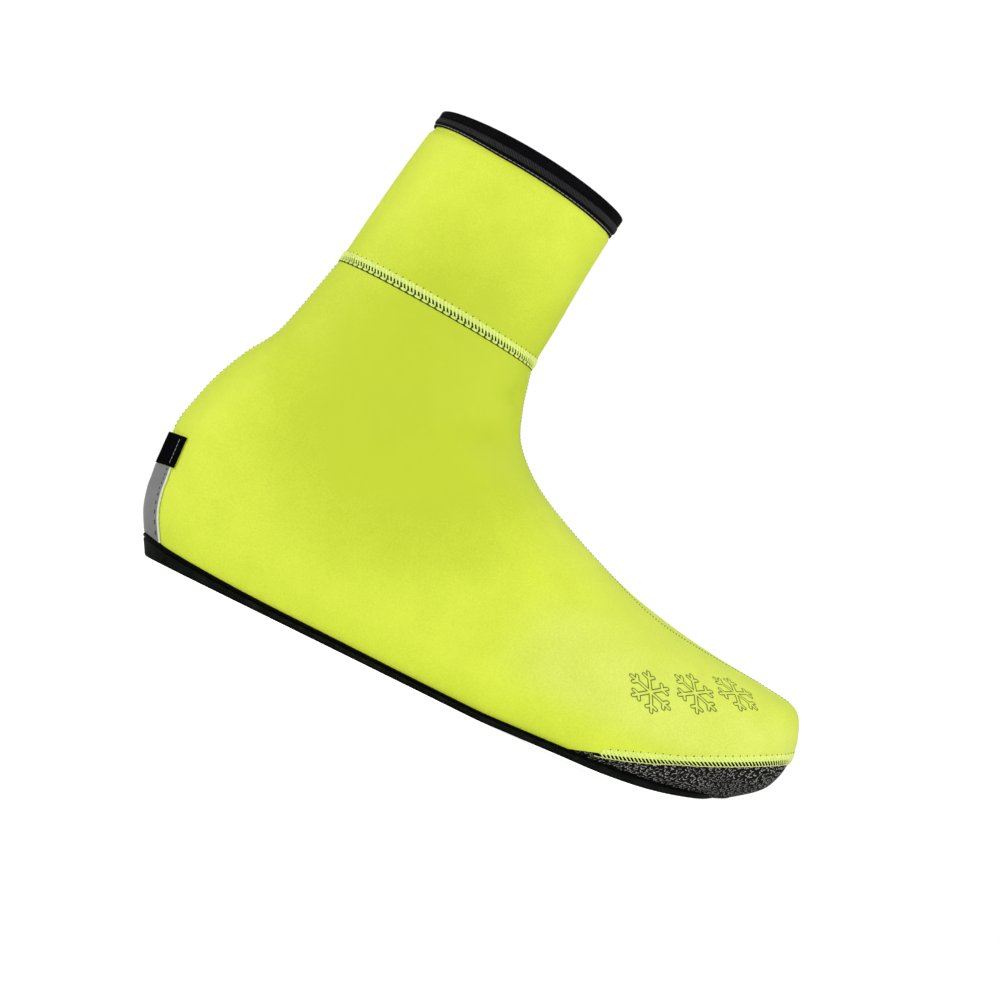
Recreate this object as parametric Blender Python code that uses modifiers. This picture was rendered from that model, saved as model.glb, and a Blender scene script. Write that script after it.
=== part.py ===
"""Winter cycling overshoe for the right foot: neoprene upper and ankle cuff on a thin rubberised sole.

Metres, +Z up. The toe points to +X and the outer (lateral) side faces -Y. The origin lies on the
floor, halfway along the shoe.
"""

import math
from collections import namedtuple
from functools import lru_cache

import bmesh
import bpy
import numpy as np
from mathutils import Vector

MM = 0.001

# Driving sizes of the last
LENGTH = 290 * MM
BALL_WIDTH = 100 * MM
HEEL_WIDTH = 70 * MM
FOOT_HEIGHT = 146 * MM
CUFF_HEIGHT = 71 * MM
TOE_SPRING = 15.6 * MM
INFLARE = 6 * MM
RIDGE_LEAN = 5 * MM
VAMP_ROUND = 36 * MM
ORIGIN_FROM_HEEL = LENGTH / 2

# Thicknesses and clearance
WALL = 3.0 * MM
SOLE_THICKNESS = 1.8 * MM
RIM_WALL = 1.3 * MM
GAP = 0.3 * MM

# Outsole: rounded lower edge, side rim and openings
EDGE_ROUND = 1.3 * MM
HEEL_RIM = 8.4 * MM
WAIST_RIM = 2.5 * MM
BALL_RIM = 3.8 * MM
TOE_RIM = 2.9 * MM
CLEAT_OPENING_LENGTH = 76 * MM
CLEAT_OPENING_WIDTH = 54 * MM
CLEAT_OPENING_CENTRE = 180 * MM
HEEL_OPENING_LENGTH = 44 * MM
HEEL_OPENING_WIDTH = 36 * MM
HEEL_OPENING_CENTRE = 48 * MM
OPENING_CORNER = 16 * MM
CUTTER_HEIGHT = 60 * MM

# Tape bound round the sole's rim
SOLE_TAPE_HEIGHT = 1.6 * MM
SOLE_TAPE_GAP = 0.5 * MM
SOLE_TAPE_THICKNESS = 1.3 * MM

# Toe guard, measured in the side view
GUARD_LENGTH = 74 * MM
GUARD_FOOT_HEIGHT = 10 * MM
GUARD_TOE_HEIGHT = 43 * MM
GUARD_SAG = 2.0 * MM
GUARD_INSET = 0.4 * MM
GUARD_TIP_HEIGHT = 0.9 * MM

# Flatlock seams that stand on the wall
SEAM_WIDTH = 5.0 * MM
SEAM_HEIGHT = 1.0 * MM
BUTT_GAP = 0.5 * MM

# Collar binding
BINDING_HEIGHT = 7.6 * MM
BINDING_INNER_HEIGHT = 7.0 * MM
BINDING_THICKNESS = 1.2 * MM
BINDING_ROLL = 1.6 * MM
BINDING_RELIEF = 0.3 * MM

# Heel strip
STRIP_WIDTH = 38 * MM
STRIP_THICKNESS = 0.8 * MM
STRIP_TOP = 36.5 * MM
HEEL_TAPE_OVERLAP = 1 * MM
HEEL_TAPE_THICKNESS = 1.1 * MM
HEEL_TAPE_TOP = 51.5 * MM

# Mesh density, and points of the side outline for each section of the tables
GUARD_COLUMNS = 15
SIDE_COLUMNS = 14
STRIP_COLUMNS = 8
STRIP_ROWS = 6
HEEL_TAPE_ROWS = 3
OUTLINE_STEPS = 24

# Smallest parameter steps: for slopes of the skin, and for the shortest column of the toe seam
SLOPE_STEP = 0.004
SHORTEST_SEAM_T = 0.12

# Stations along the foot where the half widths are given, as shares of the length
HEEL_STATION, WAIST_STATION, BALL_STATION, TOE_STATION = 0.13, 0.41, 0.70, 0.86

Section = namedtuple(
    "Section",
    "back_x back_z front_x front_z spring tail nose blunt heel waist ball toe swing lean",
)

# One row for each section round the foot, from the sole edge up to the cuff seam. Shares:
#   back_x, front_x, tail, nose   of the length: ends of the section, and how far its ends round off
#   back_z, front_z               of the foot height above the sole's seat
#   spring, swing                 of the toe spring and of the inflare
#   blunt                         exponent of the rounded front end
#   heel, waist, ball, toe        of the heel's (first two) and the ball's half width
#   lean                          of the ridge's lean to the inner side
FOOT_SECTIONS = (
    Section(.050, .000, .940, .000, 1.00, .135, .200, 2.2, .86, .86, .86, .76, 1.0, .0),
    Section(.037, .045, .978, .042, .80, .145, .200, 2.2, .93, .94, .94, .84, 1.0, .0),
    Section(.020, .108, .993, .134, .50, .155, .200, 2.2, .98, .99, .99, .89, 1.0, .0),
    Section(.012, .164, .997, .245, .20, .160, .200, 2.2, 1.00, 1.01, 1.00, .90, 1.0, .1),
    Section(.010, .199, .992, .345, .00, .160, .200, 2.2, 1.00, 1.02, .99, .90, 1.0, .3),
    Section(.008, .233, .971, .413, .00, .160, .200, 2.1, 1.00, 1.02, .98, .89, 1.0, .5),
    Section(.007, .275, .917, .433, .00, .160, .198, 2.1, 1.00, 1.02, .97, .88, 1.0, .8),
    Section(.006, .324, .838, .447, .00, .160, .196, 2.0, 1.00, 1.02, .96, .87, 1.0, 1.0),
    Section(.006, .380, .759, .470, .00, .160, .192, 2.0, .99, 1.02, .94, .84, .95, 1.0),
    Section(.014, .450, .676, .509, .00, .160, .185, 2.0, .99, 1.01, .92, .81, .85, .9),
    Section(.026, .533, .579, .582, .00, .158, .175, 2.0, .97, .99, .88, .77, .65, .7),
    Section(.048, .631, .505, .656, .00, .155, .168, 2.0, .96, .97, .82, .72, .45, .4),
    Section(.075, .721, .457, .742, .00, .153, .163, 2.0, .95, .95, .77, .67, .25, .1),
    Section(.089, .812, .438, .826, .00, .152, .160, 2.0, .94, .94, .73, .63, .10, .0),
    Section(.100, .902, .428, .902, .00, .154, .158, 2.0, .94, .94, .70, .60, .00, .0),
    Section(.111, 1.00, .423, .962, .00, .155, .156, 2.0, .94, .94, .70, .60, .00, .0),
)

CuffSection = namedtuple("CuffSection", "back_x back_z front_x front_z half_width")

# Rows of the ankle cuff: x and half_width as above, z over the seam's own end as shares of the cuff height.
CUFF_SECTIONS = (
    CuffSection(.120, .26, .428, .25, .96),
    CuffSection(.133, .62, .434, .60, .98),
    CuffSection(.149, .993, .443, .969, .99),
)

# Toe spring along the foot: station as a share of the length, lift as a share of the toe spring
SPRING_TABLE = (
    (.56, .00),
    (.62, .05),
    (.69, .12),
    (.76, .19),
    (.83, .36),
    (.90, .70),
    (.93, .97),
    (.97, 1.30),
    (1.0, 1.50),
)

CUFF_SEAM_T = float(len(FOOT_SECTIONS) - 1)
COLLAR_T = CUFF_SEAM_T + len(CUFF_SECTIONS)

# Section parameters where the faces break, up to where the toe's rows bend over the guard, and where
# the normals of the lower edge have turned from level to true
UPPER_LEVELS = (0, 1, 2, 3, 4, 5, 5.5, 6, 6.5, 7, 7.6, 8.3, 9, 10, 11, 12, 13, 14, CUFF_SEAM_T)
CUFF_LEVELS = (0.5, 1, 1.7, 2.3, 3)
NOTCH_REACH_T = 6.0
TRUE_NORMAL_T = 0.8

# Middle line seen from above: the foot's curve as a share of the inflare, and where the ridge leans
SWING_TABLE = (
    (HEEL_STATION, .0),
    (WAIST_STATION, -.35),
    (BALL_STATION, .0),
    (TOE_STATION, .75),
    (1.0, 1.1),
)
LEAN_TABLE = (
    (WAIST_STATION, .0),
    (BALL_STATION, 1.0),
)

# Rim height along the foot: station as a share of the length, height by its named size
RIM_TABLE = (
    (.04, HEEL_RIM),
    (.09, WAIST_RIM + .5 * (HEEL_RIM - WAIST_RIM)),
    (.20, WAIST_RIM + .1 * (HEEL_RIM - WAIST_RIM)),
    (.33, WAIST_RIM),
    (.52, WAIST_RIM),
    (.72, BALL_RIM),
    (.84, BALL_RIM),
    (.94, TOE_RIM),
)

MATERIALS = {
    "neoprene": ((.60, .80, .03), .62, 0.0),
    "binding": ((.012, .012, .014), .45, 0.0),
    "abrasion_fabric": ((.018, .018, .020), .80, 0.0),
    "sole_fabric": ((.014, .014, .014), .55, 0.0),
    "reflective": ((.36, .35, .37), .38, 0.1),
    "webbing": ((.010, .010, .011), .70, 0.0),
    "thread": ((.70, .88, .10), .70, 0.0),
}


def hermite(values, position):
    """Smooth value of an evenly spaced table at a fractional row."""
    last = len(values) - 1
    i = max(0, min(last - 1, int(math.floor(position))))
    u = position - i
    a, b = values[i], values[i + 1]
    slope_a = (b - values[i - 1]) / 2 if i > 0 else b - a
    slope_b = (values[i + 2] - a) / 2 if i + 2 <= last else b - a
    h = u * u * (3 - 2 * u)
    return a + (b - a) * h + slope_a * (u - 2 * u * u + u ** 3) + slope_b * (u ** 3 - u * u)


def along_table(table, x):
    """Smooth value at x of a table of (x, value) pairs, held level past its ends."""
    last = len(table) - 1
    if x <= table[0][0]:
        return table[0][1]
    if x >= table[last][0]:
        return table[last][1]

    def slope(i):
        if i in (0, last):
            return 0.0
        (x0, v0), (x1, v1) = table[i - 1], table[i + 1]
        return (v1 - v0) / (x1 - x0)
    i = max(k for k in range(last) if table[k][0] <= x)
    (x0, v0), (x1, v1) = table[i], table[i + 1]
    step = x1 - x0
    u = (x - x0) / step
    h = u * u * (3 - 2 * u)
    bends = slope(i) * (u - 2 * u * u + u ** 3) + slope(i + 1) * (u ** 3 - u * u)
    return v0 + (v1 - v0) * h + bends * step


def seat_height():
    """Height of the upper's lower edge over the floor at the heel."""
    return SOLE_THICKNESS + GAP


def absolute_sections():
    """Both tables as real sizes, one Section for each row from the sole to the collar."""
    rows = []
    half_ball, half_heel = BALL_WIDTH / 2, HEEL_WIDTH / 2
    rise = FOOT_HEIGHT - seat_height()
    for s in FOOT_SECTIONS:
        rows.append(Section(
            s.back_x * LENGTH, seat_height() + s.back_z * rise,
            s.front_x * LENGTH, seat_height() + s.front_z * rise,
            s.spring, s.tail * LENGTH, s.nose * LENGTH, s.blunt,
            s.heel * half_heel, s.waist * half_heel, s.ball * half_ball, s.toe * half_ball,
            s.swing * INFLARE, s.lean * RIDGE_LEAN,
        ))
    ankle = rows[-1]
    for c in CUFF_SECTIONS:
        half_length = (c.front_x - c.back_x) * LENGTH / 2
        width = c.half_width * half_heel
        rows.append(Section(
            c.back_x * LENGTH, FOOT_HEIGHT + c.back_z * CUFF_HEIGHT,
            c.front_x * LENGTH, ankle.front_z + c.front_z * CUFF_HEIGHT,
            0.0, half_length, half_length, 2.0,
            width, width, ankle.ball, ankle.toe, 0.0, 0.0,
        ))
    return rows


ROWS = absolute_sections()
COLUMNS_OF_ROWS = {name: [getattr(row, name) for row in ROWS] for name in Section._fields}


@lru_cache(maxsize=None)
def section_at(t):
    """The section at a fractional row of the table."""
    return Section(*(hermite(COLUMNS_OF_ROWS[name], t) for name in Section._fields))


def toe_spring(x):
    """Lift of the sole over the floor at a distance from the heel."""
    return TOE_SPRING * along_table(SPRING_TABLE, x / LENGTH)


def rounded_end(distance, reach, exponent):
    """Share of the full width at a distance from a section's rounded end."""
    u = max(0.0, min(1.0, distance / reach))
    return (1 - (1 - u) ** exponent) ** (1 / exponent)


def station_width(section, x):
    """Half width of a section at x before its ends are rounded off."""
    table = (
        (HEEL_STATION, section.heel),
        (WAIST_STATION, section.waist),
        (BALL_STATION, section.ball),
        (TOE_STATION, section.toe),
    )
    return along_table(table, x / LENGTH)


def centre_y(section, x):
    """Sideways place of the section's middle line: the foot's curve, and the lean of its ridge."""
    swing = section.swing * along_table(SWING_TABLE, x / LENGTH)
    return swing + section.lean * along_table(LEAN_TABLE, x / LENGTH)


def front_outline():
    """Points (x, z) of the side view's front outline, from the sole's edge to a little over the collar."""
    points = []
    for i in range(int(COLLAR_T * OUTLINE_STEPS) + 1):
        s = section_at(i / OUTLINE_STEPS)
        points.append((s.front_x, s.front_z + s.spring * toe_spring(s.front_x)))
    last, before = np.array(points[-1]), np.array(points[-2])
    return np.array([*points, last + (last - before) * OUTLINE_STEPS])


OUTLINE = front_outline()
TOE_TIP = int(OUTLINE[:, 0].argmax())
THROAT = TOE_TIP + int(OUTLINE[TOE_TIP:, 0].argmin())
RIDGE = OUTLINE[TOE_TIP:THROAT + 1][::-1]


def rounding(s, x, z):
    """Share of a section's half width that is left where it nears the outline ahead of it or above it."""
    ahead = max(1e-6, (np.interp(z, OUTLINE[:, 1], OUTLINE[:, 0]) - x) / s.nose)
    near = 1 / ahead ** 2
    if z < RIDGE[0, 1] and x > RIDGE[0, 0]:
        above = max(1e-6, (np.interp(x, RIDGE[:, 0], RIDGE[:, 1]) - z) / VAMP_ROUND)
        near += min(1.0, (x - RIDGE[0, 0]) / VAMP_ROUND) / above ** 2
    return rounded_end(near ** -.5, 1.0, s.blunt)


def skin(t, turn):
    """Point of the upper's outer surface. turn is 0 at the toe, 1 at the heel, and passes the outer side."""
    s = section_at(t)
    share = (1 + math.cos(math.pi * turn)) / 2
    x = s.back_x + share * (s.front_x - s.back_x)
    z = s.back_z + share * (s.front_z - s.back_z) + s.spring * toe_spring(x)
    width = station_width(s, x) * rounded_end(x - s.back_x, s.tail, 2.0)
    width *= rounding(s, x, z) if share < 1 else 0.0
    side = -1 if math.sin(math.pi * turn) > 0 else 1
    return Vector((x - ORIGIN_FROM_HEEL, centre_y(s, x) + side * width, z))


def normal(t, turn):
    """Outward normal of the skin, laid level at the sole's edge."""
    up = skin(min(t + SLOPE_STEP, COLLAR_T), turn) - skin(max(t - SLOPE_STEP, 0.0), turn)
    round_foot = skin(t, turn + SLOPE_STEP) - skin(t, turn - SLOPE_STEP)
    out = up.cross(round_foot).normalized()
    out.z *= min(1.0, t / TRUE_NORMAL_T)
    return out.normalized()


def offset_skin(t, turn, depth):
    """Point at a depth outside (+) or inside (-) the skin."""
    return skin(t, turn) + normal(t, turn) * depth


def solve(value, low, high):
    """Zero of a rising function between two parameters."""
    for _ in range(20):
        middle = (low + high) / 2
        if value(middle) > 0:
            high = middle
        else:
            low = middle
    return (low + high) / 2


def from_heel(point):
    """Distance from the heel of a point."""
    return point.x + ORIGIN_FROM_HEEL


@lru_cache(maxsize=None)
def level_t(turn, height):
    """Section parameter at a height over the sole's underside, measured up the wall from the upper's seat."""
    edge = skin(0.0, turn)
    return solve(lambda t: (skin(t, turn) - edge).length - (height - seat_height()), 0.0, NOTCH_REACH_T)


def guard_edge_height(x):
    """Height of the toe guard's upper edge at a distance from the heel, in the side view."""
    u = (x - (LENGTH - GUARD_LENGTH)) / GUARD_LENGTH
    rise = GUARD_TOE_HEIGHT - GUARD_FOOT_HEIGHT
    if u < 0:
        return GUARD_FOOT_HEIGHT + (rise - 4 * GUARD_SAG) * u
    return GUARD_FOOT_HEIGHT + rise * u - 4 * GUARD_SAG * u * (1 - u)


@lru_cache(maxsize=None)
def guard_t(turn, shift=0.0):
    """Section parameter where the skin crosses the guard's edge, shifted up or down."""
    def over(t):
        p = skin(t, turn)
        return p.z - guard_edge_height(from_heel(p)) - shift
    return 0.0 if over(0.0) >= 0 else solve(over, 0.0, NOTCH_REACH_T)


def guard_tip_turn():
    """Turn at which the guard's end stands at its blunt tip height over the sole's seat."""
    def past(turn):
        p = skin(0.0, turn)
        return GUARD_TIP_HEIGHT - (guard_edge_height(from_heel(p)) - p.z)
    return solve(past, 0.05, 0.6)


def column_turns(tip):
    """Turns of the mesh columns, the same on both sides, with one at the guard's tip."""
    toe = [tip * i / GUARD_COLUMNS for i in range(GUARD_COLUMNS)]
    side = toe + [tip + (1 - tip) * i / SIDE_COLUMNS for i in range(SIDE_COLUMNS + 1)]
    return side + [2 - turn for turn in reversed(side[1:-1])]


GUARD_TIP = guard_tip_turn()
TURNS = column_turns(GUARD_TIP)


def material_of(name):
    """Principled material in the piece's colour, roughness and metallic value."""
    material = bpy.data.materials.get(name)
    if material is None:
        colour, roughness, metallic = MATERIALS[name]
        material = bpy.data.materials.new(name)
        material.use_nodes = True
        shader = material.node_tree.nodes["Principled BSDF"]
        shader.inputs["Base Color"].default_value = (*colour, 1.0)
        shader.inputs["Roughness"].default_value = roughness
        shader.inputs["Metallic"].default_value = metallic
    return material


def add_object(name, mesh, material, collection):
    """Object of a mesh, smooth shaded but for its edges."""
    obj = bpy.data.objects.new(name, mesh)
    collection.objects.link(obj)
    mesh.materials.append(material_of(material))
    mesh.shade_smooth()
    mesh.set_sharp_from_angle(angle=math.radians(40))
    return obj


def finish_mesh(bm, name):
    """Mesh of a closed bmesh, with its faces pointing out."""
    bmesh.ops.remove_doubles(bm, verts=bm.verts, dist=0.00001)
    bmesh.ops.recalc_face_normals(bm, faces=bm.faces)
    mesh = bpy.data.meshes.new(name)
    bm.to_mesh(mesh)
    bm.free()
    return mesh


def bridge(bm, first, second, ring):
    """Faces between two neighbouring loops of vertices."""
    count = len(first)
    for j in range(count if ring else count - 1):
        k = (j + 1) % count
        bm.faces.new((first[j], first[k], second[k], second[j]))


def loft(name, loops, material, collection, ring=True):
    """Closed solid through loops of points. The last loop meets the first. An open piece has end faces."""
    bm = bmesh.new()
    grid = [[bm.verts.new(p) for p in loop] for loop in loops]
    count = len(grid)
    for i in range(count):
        bridge(bm, grid[i], grid[(i + 1) % count], ring)
    if not ring:
        for j in (0, -1):
            for i in range(count // 2 - 1):
                k = count - 1 - i
                bm.faces.new((grid[i][j], grid[i + 1][j], grid[k - 1][j], grid[k][j]))
    return add_object(name, finish_mesh(bm, name), material, collection)


def wall_loops(levels, turns, outer, inner):
    """Loops up the outer side of a wall and down its inner side. levels gives each turn its own rows."""
    rows = list(zip(*(levels(turn) for turn in turns)))

    def side(depth):
        return [[offset_skin(t, turn, depth) for t, turn in zip(row, turns)] for row in rows]
    return side(outer) + side(inner)[::-1]


def upper_levels(turn):
    """Rows of the upper at a turn, with its lower edge raised over the toe guard."""
    low = guard_t(turn, BUTT_GAP / 2)
    top = CUFF_SEAM_T - butt_share()
    levels = [low + t / NOTCH_REACH_T * (NOTCH_REACH_T - low) for t in UPPER_LEVELS if t < NOTCH_REACH_T]
    return levels + [t for t in UPPER_LEVELS if NOTCH_REACH_T <= t < CUFF_SEAM_T] + [top]


def climb(t, turn):
    """Length along the skin for one step of the section parameter."""
    low, high = t - SLOPE_STEP, min(t + SLOPE_STEP, COLLAR_T)
    return (skin(high, turn) - skin(low, turn)).length / (high - low)


def butt_share():
    """Half the butt gap at the cuff seam as a step of the section parameter."""
    return BUTT_GAP / 2 / climb(CUFF_SEAM_T, 0.5)


def make_upper(collection):
    """Foot part of the neoprene, open at the sole, at the cuff seam and over the toe guard."""
    return loft("upper", wall_loops(upper_levels, TURNS, 0.0, -WALL), "neoprene", collection)


def make_ankle_cuff(collection):
    """Tube of neoprene from the cuff seam up to the collar."""
    rows = [CUFF_SEAM_T + butt_share()] + [CUFF_SEAM_T + level for level in CUFF_LEVELS]
    return loft("ankle_cuff", wall_loops(lambda turn: rows, TURNS, 0.0, -WALL), "neoprene", collection)


def raised_band(centre, turns, low=None):
    """Loops of a low rounded band that lies on the skin along a line of section parameters."""
    profile = ((-.5, 0.0), (-.46, .6), (-.2, 1.0), (.2, 1.0), (.46, .6), (.5, 0.0), (.17, 0.0), (-.17, 0.0))
    loops = []
    for across, rise in profile:
        loop = []
        for turn in turns:
            t = centre(turn) + across * SEAM_WIDTH / climb(centre(turn), turn)
            if low is not None:
                t = max(t, low(turn))
            loop.append(offset_skin(t, turn, GAP + rise * SEAM_HEIGHT))
        loops.append(loop)
    return loops


def make_cuff_seam(collection):
    """Flatlock seam that joins the upper and the cuff."""
    return loft("cuff_seam", raised_band(lambda turn: CUFF_SEAM_T, TURNS), "thread", collection)


def guard_turns():
    """Columns from the guard's outer tip round the toe to its inner tip."""
    inner = [turn - 2 for turn in TURNS if turn >= 2 - GUARD_TIP - 1e-9]
    outer = [turn for turn in TURNS if turn <= GUARD_TIP + 1e-9]
    return inner + outer


def make_toe_guard(collection):
    """Abrasion panel that fills the upper's notch at the toe."""
    def levels(turn):
        top = guard_t(turn, -BUTT_GAP / 2)
        return [top * share for share in (0.0, .25, .5, .75, 1.0)]
    loops = wall_loops(levels, guard_turns(), -GUARD_INSET, -WALL)
    return loft("toe_guard", loops, "abrasion_fabric", collection, ring=False)


def tape_top(turn):
    """Height over the sole's underside of the sole tape's upper edge."""
    return rim_height(turn) + SOLE_TAPE_GAP + SOLE_TAPE_HEIGHT


def make_toe_seam(collection):
    """Flatlock seam over the joint of the upper and the toe guard."""
    def low(turn):
        return level_t(turn, tape_top(turn) + GAP)
    turns = [turn for turn in guard_turns() if guard_t(turn) - low(turn) > SHORTEST_SEAM_T]
    return loft("toe_seam", raised_band(guard_t, turns, low), "thread", collection, ring=False)


@lru_cache(maxsize=None)
def rim_height(turn):
    """Height of the outsole's rim over its underside, measured up the wall."""
    return along_table(RIM_TABLE, from_heel(skin(0.0, turn)) / LENGTH)


def sole_edge(turn, reach, height):
    """Point round the sole's edge, at a reach outside the last and a height over the underside."""
    p = skin(0.0, turn)
    out = normal(0.0, turn)
    lift = toe_spring(from_heel(p))
    return Vector((p.x + out.x * reach, p.y + out.y * reach, lift + height))


def outsole_loops():
    """Loops from the underside's edge, up the rim and down to the seat of the upper."""
    full = GAP + RIM_WALL
    loops = [
        [sole_edge(turn, full - EDGE_ROUND, 0.0) for turn in TURNS],
        [sole_edge(turn, full - EDGE_ROUND * .3, EDGE_ROUND * .3) for turn in TURNS],
        [sole_edge(turn, full, EDGE_ROUND) for turn in TURNS],
    ]
    seat = seat_height()
    for share, reach in ((.55, full), (.93, full), (1.0, full - RIM_WALL * .3), (1.0, GAP)):
        loops.append([
            offset_skin(level_t(turn, seat + (rim_height(turn) - seat) * share), turn, reach)
            for turn in TURNS
        ])
    loops.append([sole_edge(turn, GAP, SOLE_THICKNESS) for turn in TURNS])
    return loops


def ladder(bm, loop):
    """Faces across a loop, from each outer column to the inner column of the same station."""
    count = len(loop)
    half = count // 2
    bm.faces.new((loop[0], loop[1], loop[-1]))
    for j in range(1, half - 1):
        bm.faces.new((loop[j], loop[j + 1], loop[-j - 1], loop[-j]))
    bm.faces.new((loop[half - 1], loop[half], loop[half + 1]))


def opening_cutter(name, centre, length, width, collection):
    """Upright block with round corners that cuts an opening through the sole."""
    bpy.ops.mesh.primitive_cube_add(size=1.0, location=(centre - ORIGIN_FROM_HEEL, 0.0, 0.0))
    cutter = bpy.context.active_object
    cutter.name = name
    cutter.scale = (length, width, CUTTER_HEIGHT)
    bpy.ops.object.transform_apply(location=False, rotation=False, scale=True)
    bevel = cutter.modifiers.new("corners", "BEVEL")
    bevel.affect = "EDGES"
    bevel.width = min(OPENING_CORNER, 0.45 * min(length, width))
    bevel.segments = 5
    bevel.limit_method = "WEIGHT"
    weights = cutter.data.attributes.new("bevel_weight_edge", "FLOAT", "EDGE")
    for edge in cutter.data.edges:
        a, b = (cutter.data.vertices[i].co for i in edge.vertices)
        weights.data[edge.index].value = 1.0 if abs(a.z - b.z) > CUTTER_HEIGHT / 2 else 0.0
    cutter.hide_render = True
    cutter.display_type = "WIRE"
    for holder in cutter.users_collection:
        holder.objects.unlink(cutter)
    collection.objects.link(cutter)
    return cutter


def make_outsole(collection, cutters):
    """Sole panel with its turned-up rim, toe spring and its two openings."""
    bm = bmesh.new()
    grid = [[bm.verts.new(p) for p in loop] for loop in outsole_loops()]
    for first, second in zip(grid, grid[1:]):
        bridge(bm, first, second, True)
    ladder(bm, grid[0])
    ladder(bm, grid[-1])
    sole = add_object("outsole", finish_mesh(bm, "outsole"), "sole_fabric", collection)
    openings = (
        ("cleat_opening", CLEAT_OPENING_CENTRE, CLEAT_OPENING_LENGTH, CLEAT_OPENING_WIDTH),
        ("heel_opening", HEEL_OPENING_CENTRE, HEEL_OPENING_LENGTH, HEEL_OPENING_WIDTH),
    )
    for name, centre, length, width in openings:
        cut = sole.modifiers.new(name, "BOOLEAN")
        cut.operation = "DIFFERENCE"
        cut.solver = "EXACT"
        cut.object = opening_cutter(name, centre, length, width, cutters)
    return sole


def make_sole_tape(collection):
    """Narrow folded tape bound round the top of the sole's rim."""
    profile = ((0.0, 0.0), (.1, .7), (.5, 1.0), (.9, .7), (1.0, 0.0))
    loops = []
    for share, rise in profile:
        loops.append([
            offset_skin(
                level_t(turn, rim_height(turn) + SOLE_TAPE_GAP + share * SOLE_TAPE_HEIGHT), turn,
                GAP + rise * SOLE_TAPE_THICKNESS,
            )
            for turn in TURNS
        ])
    return loft("sole_tape", loops, "binding", collection)


def collar_point(turn, above, depth):
    """Point of the binding, above or below the cuff's top edge."""
    if above <= 0:
        return offset_skin(COLLAR_T + above / climb(COLLAR_T, turn), turn, depth)
    up = (skin(COLLAR_T, turn) - skin(COLLAR_T - SLOPE_STEP, turn)).normalized()
    return offset_skin(COLLAR_T, turn, depth) + up * above


def make_collar_binding(collection):
    """Tape folded over the cuff's top edge, with a ribbed band of cover stitch outside."""
    outer, inner = GAP + BINDING_THICKNESS, -WALL - GAP - BINDING_THICKNESS
    profile = (
        (-1.0 * BINDING_HEIGHT, GAP),
        (-1.0 * BINDING_HEIGHT, outer),
        (-.82 * BINDING_HEIGHT, outer),
        (-.76 * BINDING_HEIGHT, outer + BINDING_RELIEF),
        (-.40 * BINDING_HEIGHT, outer + BINDING_RELIEF),
        (-.33 * BINDING_HEIGHT, outer - BINDING_RELIEF),
        (-.22 * BINDING_HEIGHT, outer + .6 * BINDING_RELIEF),
        (.4 * BINDING_ROLL, outer - .3 * BINDING_RELIEF),
        (BINDING_ROLL, -.15 * WALL),
        (BINDING_ROLL, -.85 * WALL),
        (.4 * BINDING_ROLL, inner + .3 * BINDING_RELIEF),
        (-BINDING_INNER_HEIGHT, inner),
        (-BINDING_INNER_HEIGHT, -WALL - GAP),
        (GAP, -WALL - GAP),
        (GAP, GAP),
    )
    loops = [[collar_point(turn, above, depth) for turn in TURNS] for above, depth in profile]
    return loft("collar_binding", loops, "binding", collection)


def strip_turn(t, share, half_width):
    """Turn at which the skin at the heel is a share of the strip's half width to one side."""
    side = 1 if share > 0 else -1
    middle = skin(t, 1.0).y

    def short(offset):
        return abs(skin(t, 1.0 + side * offset).y - middle) - abs(share) * half_width
    return 1.0 if share == 0 else 1.0 + side * solve(short, 0.0, 0.4)


def heel_t(height):
    """Section parameter at a height over the floor on the heel's back line."""
    return solve(lambda t: skin(t, 1.0).z - height, 0.0, CUFF_SEAM_T)


def heel_strip(name, low, high, thickness, half_width, material, collection, rows):
    """Strip on the heel, from a lower edge given for each turn up to a height over the floor."""
    top = heel_t(high)
    shares = [2 * j / STRIP_COLUMNS - 1 for j in range(STRIP_COLUMNS + 1)]
    bottoms = [low(strip_turn(low(1.0), share, half_width)) for share in shares]

    def side(depth):
        loops = []
        for i in range(rows + 1):
            levels = [bottom + (top - bottom) * i / rows for bottom in bottoms]
            loops.append([
                offset_skin(t, strip_turn(t, share, half_width), depth)
                for t, share in zip(levels, shares)
            ])
        return loops
    loops = side(GAP + thickness) + side(GAP)[::-1]
    return loft(name, loops, material, collection, ring=False)


def make_heel_strip(collection):
    """Reflective strip from the sole tape up, and the black tape sewn over its top end."""
    half = STRIP_WIDTH / 2

    def over_sole_tape(turn):
        return level_t(turn, tape_top(turn) + GAP)

    def over_strip(turn):
        return heel_t(STRIP_TOP)
    heel_strip(
        "heel_reflector", over_sole_tape, STRIP_TOP - GAP, STRIP_THICKNESS, half,
        "reflective", collection, STRIP_ROWS,
    )
    heel_strip(
        "heel_tape", over_strip, HEEL_TAPE_TOP, HEEL_TAPE_THICKNESS, half + HEEL_TAPE_OVERLAP,
        "webbing", collection, HEEL_TAPE_ROWS,
    )


def main():
    """Clears the scene and builds the overshoe."""
    for obj in list(bpy.data.objects):
        bpy.data.objects.remove(obj)
    scene = bpy.context.scene
    part = bpy.data.collections.new("winter_overshoe")
    cutters = bpy.data.collections.new("cutters")
    scene.collection.children.link(part)
    scene.collection.children.link(cutters)
    make_outsole(part, cutters)
    make_sole_tape(part)
    make_upper(part)
    make_toe_guard(part)
    make_toe_seam(part)
    make_heel_strip(part)
    make_cuff_seam(part)
    make_ankle_cuff(part)
    make_collar_binding(part)


if __name__ == "__main__":
    main()
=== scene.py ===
"""Looks of a winter cycling overshoe for the right foot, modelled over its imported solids.

Metres, +Z up. The toe points to +X and the outer side faces -Y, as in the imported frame.
"""

from __future__ import annotations

import logging
import math
from dataclasses import dataclass, field
from enum import Enum
from typing import Callable, NamedTuple, Sequence

import bpy
import numpy as np
from mathutils import Matrix, Vector


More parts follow.
